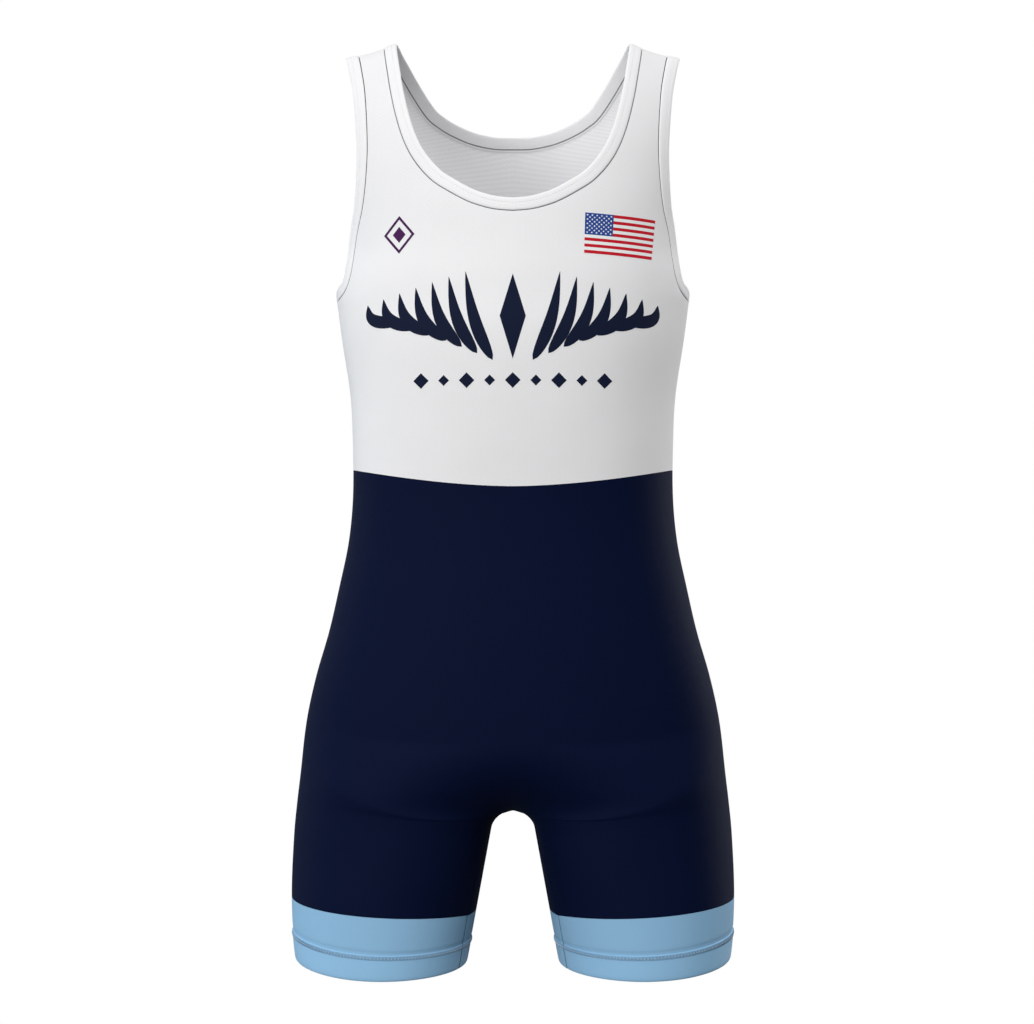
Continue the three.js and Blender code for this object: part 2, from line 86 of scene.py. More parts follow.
# Seam curves of the upper panels: the distance from the centre line, and down the cloth from the
# shoulder seam.
UNDERARM_DOWN = 261
NECK_TABLE = {
    FRONT: [
        (116, 0), (115.2, 30), (112.4, 63.5), (106.6, 101.8), (98.3, 131.6), (87.4, 152.1),
        (71.6, 167.7), (55, 176.9), (36, 185), (17.6, 190.6), (0, 192.4),
    ],
    BACK: [
        (116, 0), (111.5, 35), (103.3, 63.3), (92.9, 86.4), (81.4, 103.8), (70.5, 112.9),
        (58.5, 120), (40.8, 127.5), (20, 133.1), (0, 136.1),
    ],
}
ARM_TABLE = {
    FRONT: [
        (138.5, 0), (137.4, 25), (134.1, 58), (129.6, 94), (126.7, 134.7), (127.4, 158.6),
        (130.2, 179.4), (136.1, 204.3), (139.6, 227), (142, 241), (145.6, 251), (150, 257),
        (154.6, 260), (157.6, UNDERARM_DOWN),
    ],
    BACK: [
        (138.5, 0), (137, 35), (134.4, 75), (133.4, 115), (134.4, 155), (138.2, 190),
        (143, 218), (147.6, 238), (151.8, 250.5), (155.6, 258.5), (157.6, UNDERARM_DOWN),
    ],
}

# Level lines round the lower body: height at the centre front, centre back and side, and for the
# front and the back the lift, the power that says how soon a line leaves its centre height.
LEVEL_COLUMNS = {FRONT: 0, BACK: 1, "side": 2}
LIFT_COLUMNS = {FRONT: 3, BACK: 4}
LEVELS = np.array(
    [
        (-389.5, -381, -374, 1.5, 1.5),
        (-610, -598, -588, 4, 4),
        (-678.6, -678.6, -658, 4, 4),
        (-767.2, -767.2, -754.6, 0.82, 3),
        (-792.4, -792.4, -784, 4, 4),
        (-814.7, -814.7, -809.6, 5, 5),
    ]
)
WAIST, FORK, CROTCH, BAND, CUFF, HEM = range(6)

# Shoulders: the form rounds over them like a dome of this height, over this much of the cloth, and
# the straps slope away from their middles
STRAP_THICK = 1.5
DOME_DROP = 150
DOME_CLOTH = 185
STRAP_MIDDLE = 126
STRAP_SLOPE = -0.3
STRAP_HOLLOW = 0.0045

# Crotch and legs: the arch between them, how fast the inseams part below it, and how the legs
# round out under the fork
ARCH_HALF = 16.4
ARCH_RISE = 16
INSEAM_SPREAD = 0.184
INSEAM_TURN = math.radians(24)
INSEAM_TURN_DROP = 60
SADDLE_SPREAD = 33.6
THIGH_ROUNDING_DROP = 90
THIGH_FULLNESS = 0.55
CLEFT_ROUNDING = 0.06
LEG_ROW_POWER = 1.7


def mix(a, b, t):
    return a + (b - a) * t


def smooth(t):
    """A share from 0 to 1 that leaves and arrives level."""
    t = np.clip(t, 0, 1)
    return t * t * (3 - 2 * t)


def body_at(column, z):
    """Smooth value of a column of the body table at each height."""
    heights, values = BODY[:, 0], BODY[:, BODY_COLUMNS[column]]
    last = len(heights) - 1
    z = np.clip(z, heights[last], heights[0])
    row = np.clip(np.searchsorted(-heights, -z, side="left") - 1, 0, last - 1)
    above = np.maximum(np.arange(last + 1) - 1, 0)
    below = np.minimum(np.arange(last + 1) + 1, last)
    slopes = (values[below] - values[above]) / (heights[below] - heights[above])
    span = heights[row + 1] - heights[row]
    t = (z - heights[row]) / span
    leaving = t * (1 - t) ** 2 * slopes[row] * span
    arriving = t * t * (t - 1) * slopes[row + 1] * span
    return mix(values[row], values[row + 1], smooth(t)) + leaving + arriving


def half_width(side, z):
    """Half the width of the front or the back at each height."""
    half = body_at("half", z)
    return half - np.maximum(0, body_at("chest_in", z)) if side == FRONT else half


def depth(side, z):
    """Depth of the front or the back from the side seams' plane at each height."""
    return body_at("front" if side == FRONT else "back", z)


def section(turn, z):
    """The two measures of a section, along it and across it, each from 0 to 1."""
    power = 2 / body_at("power", z)
    return np.abs(np.sin(turn)) ** power, np.maximum(np.cos(turn), 0) ** power


def dome(down):
    """Height and fullness of the form at a distance down the cloth from the shoulder seam."""
    turn = np.minimum(down / DOME_CLOTH, 1) * np.pi / 2
    z = STRAP_THICK - DOME_DROP * (1 - np.cos(turn)) - np.maximum(0, down - DOME_CLOTH)
    return z, np.sin(turn)


def down_at(z):
    """Distance down the cloth from the shoulder seam at a height below the dome."""
    return DOME_CLOTH + STRAP_THICK - DOME_DROP - z


def turn_at(side, half, down):
    """Angle round the section, 0 at the centre line and a quarter turn at the side."""
    z, _ = dome(down)
    share = np.clip(half / half_width(side, z), 0, 1)
    return np.arcsin(share ** (body_at("power", z) / 2))


def top_point(side, turn, down):
    """Points of the upper body's form."""
    turn, down = np.broadcast_arrays(np.asarray(turn, float), np.asarray(down, float))
    z, full = dome(down)
    along, across = section(turn, z)
    x = half_width(side, z) * along
    y = side * depth(side, z) * full * across
    away = x - STRAP_MIDDLE
    slope = (STRAP_SLOPE * away + STRAP_HOLLOW * away**2) * (1 - smooth(down / DOME_CLOTH))
    return np.stack([x, y, z + slope], -1)


def waist_height(side, turn):
    """Height of the waist seam at an angle round the section."""
    waist = LEVELS[WAIST]
    centre = waist[LEVEL_COLUMNS[side]]
    rise = np.abs(np.sin(turn)) ** waist[LIFT_COLUMNS[side]]
    return mix(centre, waist[LEVEL_COLUMNS["side"]], rise)


def leg_section(angle, wide, below, fork):
    """How far from the centre line a leg's section lies at an angle from its innermost line."""
    rounding = np.sqrt(1 - (1 - np.clip(below / ARCH_RISE, 0, 1)) ** 2)
    inner = ARCH_HALF * rounding + INSEAM_SPREAD * below
    swing = (1 - np.cos(angle)) / 2
    spread = SADDLE_SPREAD * fork**4 * np.sin(angle) * (1 - angle / np.pi) ** 4
    saddle = np.hypot(inner, np.sqrt(wide**2 - inner**2) * swing + spread)
    oval = inner + (wide - inner) * swing
    return mix(saddle, oval, smooth(below / THIGH_ROUNDING_DROP))


def lower_point(side, around, level):
    """Points of the lower body's form, 0 around on the centre line or inseam and 1 at the side."""
    around, level = np.broadcast_arrays(np.asarray(around, float), np.asarray(level, float))
    row = np.clip(np.floor(level).astype(int), 0, len(LEVELS) - 2)
    part = level - row
    column = LEVEL_COLUMNS[side]
    at_side, lift = LEVEL_COLUMNS["side"], LIFT_COLUMNS[side]
    start, end = LEVELS[row], LEVELS[row + 1]
    fork = smooth(level - FORK)
    fall = np.where(row == FORK, np.sqrt(1 - (1 - fork) ** 2), part)
    fall = np.where(row == CROTCH, part**LEG_ROW_POWER, fall)
    centre = mix(start[..., column], end[..., column], fall)
    power = mix(start[..., lift], end[..., lift], np.where(row == WAIST, smooth(part), part))
    edge = mix(start[..., at_side], end[..., at_side], part)
    z = mix(centre, edge, np.sin(around * np.pi / 2) ** power)
    wide = half_width(side, z)
    along, across = section(around * np.pi / 2, z)

    rounding = CLEFT_ROUNDING * (1 - fork)
    eased = (np.hypot(around, rounding) - rounding) / (np.hypot(1, rounding) - rounding)
    round_ = np.sin(eased * np.pi)
    fullness = THIGH_FULLNESS * np.sqrt(fork) * (1 - fork) ** 0.9 * round_ * (1 - eased)
    reach = mix(across, round_, fork) * (1 + fullness)
    fork_x = mix(wide * along, leg_section(around * np.pi, wide, 0, fork), fork)
    fork_y = side * depth(side, z) * reach

    below = np.maximum(0, LEVELS[CROTCH, 0] - centre)
    inseam = INSEAM_TURN * smooth(below / INSEAM_TURN_DROP)
    angle = mix(inseam, -side * np.pi, around)
    leg_depth = np.where(angle > 0, depth(FRONT, z), depth(BACK, z))
    leg_x = leg_section(np.abs(angle), wide, below, fork)
    leg_y = -leg_depth * np.sin(angle)

    on_leg = fork >= 1
    return np.stack([np.where(on_leg, leg_x, fork_x), np.where(on_leg, leg_y, fork_y), z], -1)


# Share of a form's range that its outward directions are taken over, and the two ranges: turn and
# distance down on the upper body, and place round and level on the lower body
NORMAL_STEP = 0.0012
TOP_RANGE = ((0, np.pi / 2), (0, 600))
LOWER_RANGE = ((0, 1), (0, HEM))


def unit(vectors):
    """Vectors made one long."""
    return vectors / np.maximum(np.linalg.norm(vectors, axis=-1, keepdims=True), 1e-12)


def outward(form, ranges, side, a, b):
    """Outward direction of a form at each place on it."""
    a, b = np.broadcast_arrays(np.asarray(a, float), np.asarray(b, float))
    (low_a, high_a), (low_b, high_b) = ranges
    step_a, step_b = NORMAL_STEP * (high_a - low_a), NORMAL_STEP * (high_b - low_b)

    def at(da, db):
        return form(side, np.clip(a + da, low_a, high_a), np.clip(b + db, low_b, high_b))

    across = at(step_a, 0) - at(-step_a, 0)
    downward = at(0, step_b) - at(0, -step_b)
    return unit(np.cross(across, downward) * side)


def top_outward(side, turn, down):
    return outward(top_point, TOP_RANGE, side, turn, down)


def lower_outward(side, around, level):
    return outward(lower_point, LOWER_RANGE, side, around, level)


class SeamCurve:
    """A smooth curve through a table of half widths and distances down, by share of its length."""

    SAMPLES = 80

    def __init__(self, table):
        points = np.array(table, float)
        last = len(points) - 1
        places = np.linspace(0, last, last * self.SAMPLES + 1)
        row = np.minimum(places.astype(int), last - 1)
        t = (places - row)[:, None]
        before, start = points[np.maximum(row - 1, 0)], points[row]
        end, after = points[row + 1], points[np.minimum(row + 2, last)]
        leaving, arriving = (end - before) / 2, (after - start) / 2
        self.points = (
            mix(start, end, smooth(t)) + t * (1 - t) ** 2 * leaving + t * t * (t - 1) * arriving
        )
        lengths = np.cumsum(np.linalg.norm(np.diff(self.points, axis=0), axis=1))
        self.shares = np.concatenate([[0], lengths / lengths[-1]])

    def at(self, share):
        half = np.interp(share, self.shares, self.points[:, 0])
        return half, np.interp(share, self.shares, self.points[:, 1])

    def share_at(self, down):
        return np.interp(down, self.points[:, 1], self.shares)


NECK_CURVE = {side: SeamCurve(table) for side, table in NECK_TABLE.items()}
ARM_CURVE = {side: SeamCurve(table) for side, table in ARM_TABLE.items()}

# Steps of the cloth: across half a panel or half round a leg, and down it
TOP_ACROSS = 56
NECK_ROWS = 64
ARM_ROWS = 40
CHEST_ROWS = 44
LOWER_ACROSS = 72
TORSO_ROWS = 60
FORK_ROWS = 36
LEG_ROWS = 48
BAND_ROWS = 10

# Steps of the quarter section that cloth is measured along, and length of a binding's steps
CLOTH_STEPS = 72
BINDING_STEP = 3.2


class Shape:
    """The points, faces and flat cloth coordinates of one mesh, in millimetres."""

    def __init__(self):
        self.points, self.cloth, self.faces, self.finish = [], [], [], []
        self.count = 0
        self.girths = None

    def add_points(self, points, cloth):
        """Adds a grid of points and gives back the grid of their numbers."""
        points = np.asarray(points, float)
        shape = points.shape[:-1]
        self.points.append(points.reshape(-1, 3))
        self.cloth.append(np.broadcast_to(cloth, (*shape, 2)).reshape(-1, 2))
        numbers = self.count + np.arange(int(np.prod(shape))).reshape(shape)
        self.count += numbers.size
        return numbers

    def add_faces(self, corners, finish=0, flipped=False):
        """Adds faces of one finish, from the numbers of their corners."""
        corners = corners.reshape(-1, corners.shape[-1])
        self.faces.append(corners[:, ::-1] if flipped else corners)
        self.finish.append(np.full(len(corners), finish))

    def add_strip(self, one, other, finish=0, flipped=False, kept=slice(None)):
        """Quads between two lines of points, or those of them that are kept."""
        quads = np.stack([one[:-1], one[1:], other[1:], other[:-1]], -1)
        self.add_faces(quads[kept], finish, flipped)

    def add_grid(self, numbers, finish=0, flipped=False):
        """Quads over a grid of point numbers."""
        corners = [numbers[:-1, :-1], numbers[:-1, 1:], numbers[1:, 1:], numbers[1:, :-1]]
        self.add_faces(np.stack(corners, -1), finish, flipped)

    def add_shaded_grid(self, numbers, finish, flipped=False):
        """A grid whose strips beside the seams at both ends have a finish of their own, a darker one as
        painted shade.
        """
        self.add_grid(numbers[:, 2:-2], 0, flipped)
        self.add_grid(numbers[:, :3], finish, flipped)
        self.add_grid(numbers[:, -3:], finish, flipped)

    def add_shell(self, outer, inner, joined=None, flipped=False, seam_shade_finish=0):
        """Closes a wall between grids of outer and inner points, but for joined first points."""
        # Strips beside the seams take their own finish; a darker one there is painted shade.
        self.add_shaded_grid(outer, seam_shade_finish, flipped)
        self.add_grid(inner, 1, not flipped)
        self.add_strip(outer[0], inner[0], 0, not flipped)
        self.add_strip(outer[-1], inner[-1], 0, flipped)
        self.add_strip(outer[:, -1], inner[:, -1], 0, not flipped)
        apart = slice(None) if joined is None else ~(joined[:-1] & joined[1:])
        self.add_strip(outer[:, 0], inner[:, 0], 0, flipped, apart)

    def add_panel(self, outer, inner, cloth, joined, flipped):
        """Both halves of a panel, which share their first points where joined is true."""
        first = None
        for hand in HANDS.values():
            face = self.add_points(outer * [hand, 1, 1], cloth * [hand, 1])
            under = self.add_points(inner * [hand, 1, 1], cloth * [hand, 1])
            if first:
                face[joined, 0] = first[0][joined, 0]
                under[joined, 0] = first[1][joined, 0]
            first = (face, under)
            self.add_shell(face, under, joined, flipped == (hand > 0))

    def add_loop(self, points, cloth, girths, finish):
        """A closed tube of rings. finish names that of each strip along it."""
        numbers = self.add_points(points, cloth)
        wrapped = np.concatenate([numbers, numbers[:1]])
        wrapped = np.concatenate([wrapped, wrapped[:, :1]], 1)
        for k in range(numbers.shape[1]):
            self.add_grid(wrapped[:, k : k + 2], finish[k])
        self.girths = girths

    def unwrapped(self, cloth, faces):
        """Cloth coordinates of each face's corners, whole across the ends of a closed tube."""
        corners = cloth[np.concatenate(faces)]
        if self.girths is None:
            return corners
        starts = np.concatenate([[0], np.cumsum([len(f) for f in faces])])[:-1]
        counts = np.diff(np.append(starts, len(corners)))
        far = np.repeat(np.maximum.reduceat(corners, starts), counts, 0)
        girths = np.array(self.girths) * MM
        return corners + girths * (far - corners > girths / 2)

    def make(self, name, finishes, sharp=40):
        """Makes the mesh object, facing out, with its finishes in order."""
        points, cloth = np.concatenate(self.points) * MM, np.concatenate(self.cloth) * MM
        groups = [(f, m) for f, m in zip(self.faces, self.finish) if len(f)]
        volume = 0
        for corners, _ in groups:
            for k in range(1, corners.shape[1] - 1):
                a, b, c = points[corners[:, 0]], points[corners[:, k]], points[corners[:, k + 1]]
                volume += (a * np.cross(b, c)).sum()
        faces, finish = [], []
        for corners, kinds in groups:
            faces += (corners if volume > 0 else corners[:, ::-1]).tolist()
            finish += kinds.tolist()
        used = np.unique(np.concatenate([f.ravel() for f, _ in groups]))
        place = np.full(len(points), -1)
        place[used] = np.arange(len(used))
        mesh = bpy.data.meshes.new(name)
        mesh.from_pydata(points[used].tolist(), [], [place[face].tolist() for face in faces])
        mesh.polygons.foreach_set("material_index", finish)
        layer = mesh.uv_layers.new(name="cloth")
        layer.uv.foreach_set("vector", self.unwrapped(cloth, faces).ravel())
        for material in finishes:
            mesh.materials.append(material)
        mesh.shade_smooth()
        mesh.set_sharp_from_angle(angle=math.radians(sharp))
        mesh.update()
        piece = bpy.data.objects.new(name, mesh)
        bpy.context.scene.collection.objects.link(piece)
        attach(piece, "root")
        return piece


def length_along(points):
    """Distance along each row of a grid of points from its first point."""
    steps = np.linalg.norm(np.diff(points, axis=1), axis=-1)
    return np.concatenate([np.zeros((len(points), 1)), np.cumsum(steps, 1)], 1)


def length_round(points):
    """Distance along a closed line of points, from its first point back to it."""
    return length_along(np.concatenate([points, points[:1]])[None])[0]


def cloth_grid(across, down):
    """Flat cloth coordinates of a grid, from its distances across and one distance down a row."""
    return np.stack([across, np.repeat(np.asarray(down)[:, None], across.shape[1], 1)], -1)


def seam_dip(distance, deep, wide):
    """How far cloth turns down beside a seam."""
    return deep * np.clip(1 - distance / wide, 0, 1) ** 2


# Extra points beside a seam, as shares of the step from one point to the next
SEAM_STEPS = np.array([0.1, 0.26, 0.52])


def edge_places(count, near_start, near_end):
    """Places across a panel from 0 to 1, with extra ones close to a seam at either end."""
    places = np.linspace(0, 1, count + 1)
    close = SEAM_STEPS / count
    if near_start:
        places = np.concatenate([places, close])
    if near_end:
        places = np.concatenate([places, 1 - close])
    return np.sort(places)


def top_rows(side):
    """Turn at both ends of each row of an upper panel, and its distance down the cloth."""
    neck, arm = NECK_CURVE[side], ARM_CURVE[side]
    half, down = neck.at(np.linspace(0, 1, NECK_ROWS + 1))
    arm_half, _ = arm.at(arm.share_at(down))
    start, end = turn_at(side, half, down), turn_at(side, arm_half, down)
    reached = arm.share_at(down[-1])
    arm_half, arm_down = arm.at(np.linspace(reached, 1, ARM_ROWS + 1)[1:])
    start = np.concatenate([start, np.zeros(ARM_ROWS)])
    end = np.concatenate([end, turn_at(side, arm_half, arm_down)])
    return start, end, np.concatenate([down, arm_down])


def top_grid(side, places):
    """Turns and distances down of an upper panel's grid of points."""
    start, end, down = top_rows(side)
    turns = mix(start[:, None], end[:, None], places)
    downs = np.repeat(down[:, None], len(places), 1)
    body_turns = np.repeat(places[None] * np.pi / 2, CHEST_ROWS, 0)
    share = np.linspace(0, 1, CHEST_ROWS + 1)[1:, None]
    body_downs = mix(UNDERARM_DOWN, down_at(waist_height(side, body_turns)), share)
    return np.concatenate([turns, body_turns]), np.concatenate([downs, body_downs])


def top_cloth(side, turns, downs):
    """Flat cloth coordinates on an upper panel: round from the centre line, and down."""
    whole = np.linspace(0, np.pi / 2, CLOTH_STEPS + 1)
    lengths = length_along(top_point(side, whole[None], downs.mean(1)[:, None]))
    across = np.stack([np.interp(t, whole, row) for t, row in zip(turns, lengths)])
    return np.stack([across, -downs], -1)


class SingletCut(bpy.types.PropertyGroup):
    """Sizes that a maker would change."""

    cloth_thickness: FloatProperty(
        name="Cloth Thickness",
        description="Thickness of one layer of the stretch knit",
        default=1.2 * MM, min=0.6 * MM, max=2 * MM, precision=4, subtype="DISTANCE", unit="LENGTH",
    )
    seam_depth: FloatProperty(
        name="Seam Depth",
        description="How deep the cloth turns in at the side seams and inseams",
        default=0.5 * MM, min=0.0, max=0.9 * MM, precision=4, subtype="DISTANCE", unit="LENGTH",
    )
    thread_radius: FloatProperty(
        name="Thread Radius",
        description="Radius of the sewing thread",
        default=0.22 * MM, min=0.1 * MM, max=0.4 * MM, precision=5, subtype="DISTANCE", unit="LENGTH",
    )
    stitch_length: FloatProperty(
        name="Stitch Length",
        description="Distance from one stitch to the next",
        default=3.0 * MM, min=1.5 * MM, max=6 * MM, precision=4, subtype="DISTANCE", unit="LENGTH",
    )
    print_height: FloatProperty(
        name="Print Height",
        description="How far the printed film stands off the cloth",
        default=0.16 * MM, min=0.05 * MM, max=0.5 * MM, precision=5, subtype="DISTANCE", unit="LENGTH",
    )


def colour_property(name, description, default):
    """A colour in linear light."""
    return FloatVectorProperty(
        name=name, description=description, default=default, min=0.0, max=1.0, size=3, subtype="COLOR"
    )


class SingletColours(bpy.types.PropertyGroup):
    """Colours of the cloth, thread and prints, in linear light."""

    upper: colour_property("Upper Cloth", "White knit of the upper body", (0.80, 0.80, 0.81))
    lower: colour_property("Lower Cloth", "Navy knit of the lower body", (0.0024, 0.0055, 0.0260))
    band: colour_property("Leg Band", "Light blue knit of the leg hems", (0.250, 0.465, 0.680))
    binding: colour_property("Binding", "White ribbed binding", (0.83, 0.83, 0.84))
    motif: colour_property("Chest Motif", "Navy film of the chest motif", (0.005, 0.009, 0.030))
    small_motif: colour_property("Small Motif", "Purple film of the small motif", (0.060, 0.014, 0.080))
    flag_red: colour_property("Flag Red", "Red stripes of the flag", (0.52, 0.010, 0.022))
    flag_blue: colour_property("Flag Blue", "Blue field of the flag", (0.020, 0.060, 0.270))


class SingletStage(bpy.types.PropertyGroup):
    """Camera and light."""

    camera_distance: FloatProperty(
        name="Camera Distance", description="From the camera to the middle of the garment",
        default=1.6, min=0.5, max=5.0, subtype="DISTANCE", unit="LENGTH",
    )
    key_power: FloatProperty(
        name="Key Light", description="Power of the large light at the front left",
        default=42.0, min=0.0, max=500.0, unit="POWER",
    )
    top_power: FloatProperty(
        name="Top Light", description="Power of the light above the shoulders",
        default=12.0, min=0.0, max=500.0, unit="POWER",
    )
    rim_power: FloatProperty(
        name="Rim Light", description="Power of the narrow light behind the right side",
        default=10.0, min=0.0, max=500.0, unit="POWER",
    )
    room_light: FloatProperty(
        name="Room Light", description="Strength of the white light from above",
        default=0.66, min=0.0, max=2.0,
    )
    floor_colour: colour_property("Floor", "Colour of the floor", (0.86, 0.86, 0.86))


class Nodes:
    """Short calls for building the node tree of a material or of the world."""

    def __init__(self, owner):
        owner.use_nodes = True
        self.owner, self.tree = owner, owner.node_tree
        self.tree.nodes.clear()

    def add(self, kind, inputs=None, **settings):
        """Adds a node with its settings, and its inputs as values or as links."""
        made = self.tree.nodes.new(kind)
        for key, value in settings.items():
            setattr(made, key, value)
        for key, value in (inputs or {}).items():
            if isinstance(value, bpy.types.NodeSocket):
                self.tree.links.new(value, made.inputs[key])
            else:
                made.inputs[key].default_value = value
        return made

    def math(self, operation, *values):
        return self.add("ShaderNodeMath", dict(enumerate(values)), operation=operation).outputs[0]

    def times(self, value, share):
        """A share of a value."""
        return self.math("MULTIPLY", value, share)

    def plus(self, value, other, share=1.0):
        """A value with a share of another added to it."""
        return self.math("ADD", value, self.times(other, share))

    def wave(self, value, length):
        """A sine wave of a length along a value."""
        return self.math("SINE", self.times(value, 2 * math.pi / length))

    def noise(self, vector, scale, detail, roughness=0.5):
        inputs = {"Vector": vector, "Scale": scale, "Detail": detail, "Roughness": roughness}
        return self.add("ShaderNodeTexNoise", inputs).outputs["Fac"]

    def fade(self, value, start_end, low_high):
        """A value's smooth change from low to high between its start and its end."""
        (start, end), (low, high) = start_end, low_high
        inputs = {"Value": value, "From Min": start, "From Max": end, "To Min": low, "To Max": high}
        kind = "ShaderNodeMapRange"
        return self.add(kind, inputs, interpolation_type="SMOOTHSTEP").outputs[0]

    def bump(self, strength, distance, height):
        inputs = {"Strength": strength, "Distance": distance, "Height": height}
        return self.add("ShaderNodeBump", inputs).outputs["Normal"]

    def tinted(self, colour, shade):
        """A colour made lighter or darker by a shade."""
        grey = {"Red": shade, "Green": shade, "Blue": shade}
        grey = self.add("ShaderNodeCombineColor", grey).outputs[0]
        sockets = {0: 1.0, 6: (*colour, 1.0), 7: grey}
        blend = {"data_type": "RGBA", "blend_type": "MULTIPLY"}
        return self.add("ShaderNodeMix", sockets, **blend).outputs[2]

    def finish(self, inputs):
        """Gives the material its surface, and gives back the material."""
        surface = self.add("ShaderNodeBsdfPrincipled", inputs).outputs["BSDF"]
        self.add("ShaderNodeOutputMaterial", {"Surface": surface})
        return self.owner


# Fine stretch knit, in millimetres and shares. A loop is a V whose legs lean in to the middle of
# its column, and its size is its width and height. The set of the knit is a faint diagonal, and its
# reverse has crosswise ribs. A sheen is its strength and its tint.
LOOP_LEAN = 1.6
LOOP_RIDGE, LOOP_LEGS = 0.30, 0.20
SET_SLANT, SET_WIDTH = 1.7, 4.2
RIB_HEIGHT = 2.7
FACE_LOOP, BINDING_LOOP, REVERSE_LOOP = (1.0, 0.8), (1.1, 0.9), (1.3, 2.2)
SOFT_SHEEN = (0.04, (1, 1, 1))
NO_SHEEN = (0, (1, 1, 1))
NAVY_SHEEN = (0.02, (0.4, 0.7, 1.0))
CUFF_SHEEN = (0.4, (0.62, 0.84, 1.0))


def knit_material(
    name, colour, rough=0.75, gloss=0.3, sheen=SOFT_SHEEN, loop=FACE_LOOP, twill=0.1, ribs=0
):
    """Stretch knit. twill is the strength of the diagonal set, and ribs that of the ribs."""
    nodes = Nodes(bpy.data.materials.new(name))
    wale, course = loop
    cloth = nodes.add("ShaderNodeUVMap", uv_map="cloth").outputs["UV"]
    split = nodes.add("ShaderNodeSeparateXYZ", {"Vector": cloth}).outputs
    column = nodes.math("DIVIDE", split["X"], wale * MM)
    row = nodes.math("DIVIDE", split["Y"], course * MM)
    lean = nodes.math("PINGPONG", column, 0.5)
    legs = nodes.wave(nodes.plus(row, lean, LOOP_LEAN), 1)
    diagonal = nodes.wave(nodes.plus(split["X"], split["Y"], SET_SLANT), SET_WIDTH * MM)
    grain = nodes.noise(cloth, 620.0, 2.0, 0.6)
    broad = nodes.noise(cloth, 22.0, 3.0)
    height = nodes.plus(nodes.times(nodes.wave(column, 1), LOOP_RIDGE), legs, LOOP_LEGS)
    height = nodes.plus(nodes.plus(height, diagonal, twill), grain, 0.9)
    shade = nodes.plus(nodes.plus(0.93, height, 0.06), broad, 0.05)
    shade = nodes.plus(shade, diagonal, 0.08 * twill)
    shade = nodes.plus(shade, nodes.wave(split["Y"], RIB_HEIGHT * MM), 0.08 * ribs)
    weight, tint = sheen
    return nodes.finish(
        {
            "Base Color": nodes.tinted(colour, shade),
            "Roughness": nodes.plus(rough - 0.05, grain, 0.1),
            "Normal": nodes.bump(0.5, 0.12 * MM, height),
            "Specular IOR Level": gloss,
            "Sheen Weight": weight,
            "Sheen Roughness": 0.35,
            "Sheen Tint": (*tint, 1.0),
        }
    )


def thread_material(name, colour):
    """Twisted sewing thread."""
    nodes = Nodes(bpy.data.materials.new(name))
    cloth = nodes.add("ShaderNodeUVMap", uv_map="cloth").outputs["UV"]
    twist = nodes.add(
        "ShaderNodeTexWave",
        {"Vector": cloth, "Scale": 500.0, "Distortion": 0.6, "Detail": 1.0},
        wave_type="BANDS",
        bands_direction="DIAGONAL",
    ).outputs["Fac"]
    return nodes.finish(
        {
            "Base Color": nodes.tinted(colour, nodes.plus(0.88, twist, 0.12)),
            "Roughness": 0.5,
            "Normal": nodes.bump(0.4, 0.05 * MM, twist),
            "Sheen Weight": 0.2,
        }
    )


def dimmed(colour, share):
    """A share of a colour, which is lighter than it where the share is over 1."""
    return tuple(share * channel for channel in colour)


def material(name):
    """A finish of the singlet by name, made on first use."""
    if name in bpy.data.materials:
        return bpy.data.materials[name]
    colours = bpy.context.scene.singlet_colours
    upper, lower, band = tuple(colours.upper), tuple(colours.lower), tuple(colours.band)
    knits = {
        "white_knit": dict(colour=upper),
        # The reverse of the white knit is 1.14 times lighter than its face: painted light for the
        # inside of the back, which lies in shade.
        "white_knit_reverse": dict(
            colour=dimmed(upper, 1.14), loop=REVERSE_LOOP, twill=0.05, ribs=0.35
        ),
        "navy_knit": dict(colour=lower, rough=0.6, gloss=0.03, sheen=NAVY_SHEEN),
        "navy_knit_reverse": dict(colour=dimmed(lower, 2.2), gloss=0.08, loop=REVERSE_LOOP, ribs=0.5),
        "blue_knit": dict(colour=band),
        "blue_knit_reverse": dict(colour=dimmed(band, 0.9), loop=REVERSE_LOOP, ribs=0.5),
        # The cuff's knit is a tenth lighter than the band's: painted light, for the cuff catching more
        # light than the band above it.
        "blue_cuff_knit": dict(colour=dimmed(band, 1.1), sheen=CUFF_SHEEN),
        # blue_seam_shade is painted shade: a darker blue on the strips beside the inseam of the leg
        # bands and cuffs.
        "blue_seam_shade": dict(colour=dimmed(band, 0.45), gloss=0.05, sheen=NO_SHEEN),
        "white_binding": dict(colour=tuple(colours.binding), loop=BINDING_LOOP),
        # neck_seam_shade and armhole_seam_shade are painted shade: dark finishes on the floors of the
        # binding seams' grooves, where shade falls.
        "neck_seam_shade": dict(colour=(0.30, 0.30, 0.31), gloss=0.05, sheen=NO_SHEEN),
        "armhole_seam_shade": dict(colour=(0.06, 0.06, 0.065), gloss=0.05, sheen=NO_SHEEN),
        "motif_film": dict(colour=tuple(colours.motif), gloss=0.1, sheen=NAVY_SHEEN),
        "small_motif_film": dict(colour=tuple(colours.small_motif), gloss=0.1),
        "flag_red_film": dict(colour=tuple(colours.flag_red), gloss=0.1),
        "flag_blue_film": dict(colour=tuple(colours.flag_blue), gloss=0.1),
        "flag_white_film": dict(colour=(0.82, 0.84, 0.84), gloss=0.2),
    }
    threads = {
        "white_thread": (0.80, 0.80, 0.80),
        "blue_thread": dimmed(band, 0.78),
        "pale_thread": (0.78, 0.85, 0.90),
    }
    if name in threads:
        return thread_material(name, threads[name])
    return knit_material(name, **knits[name])


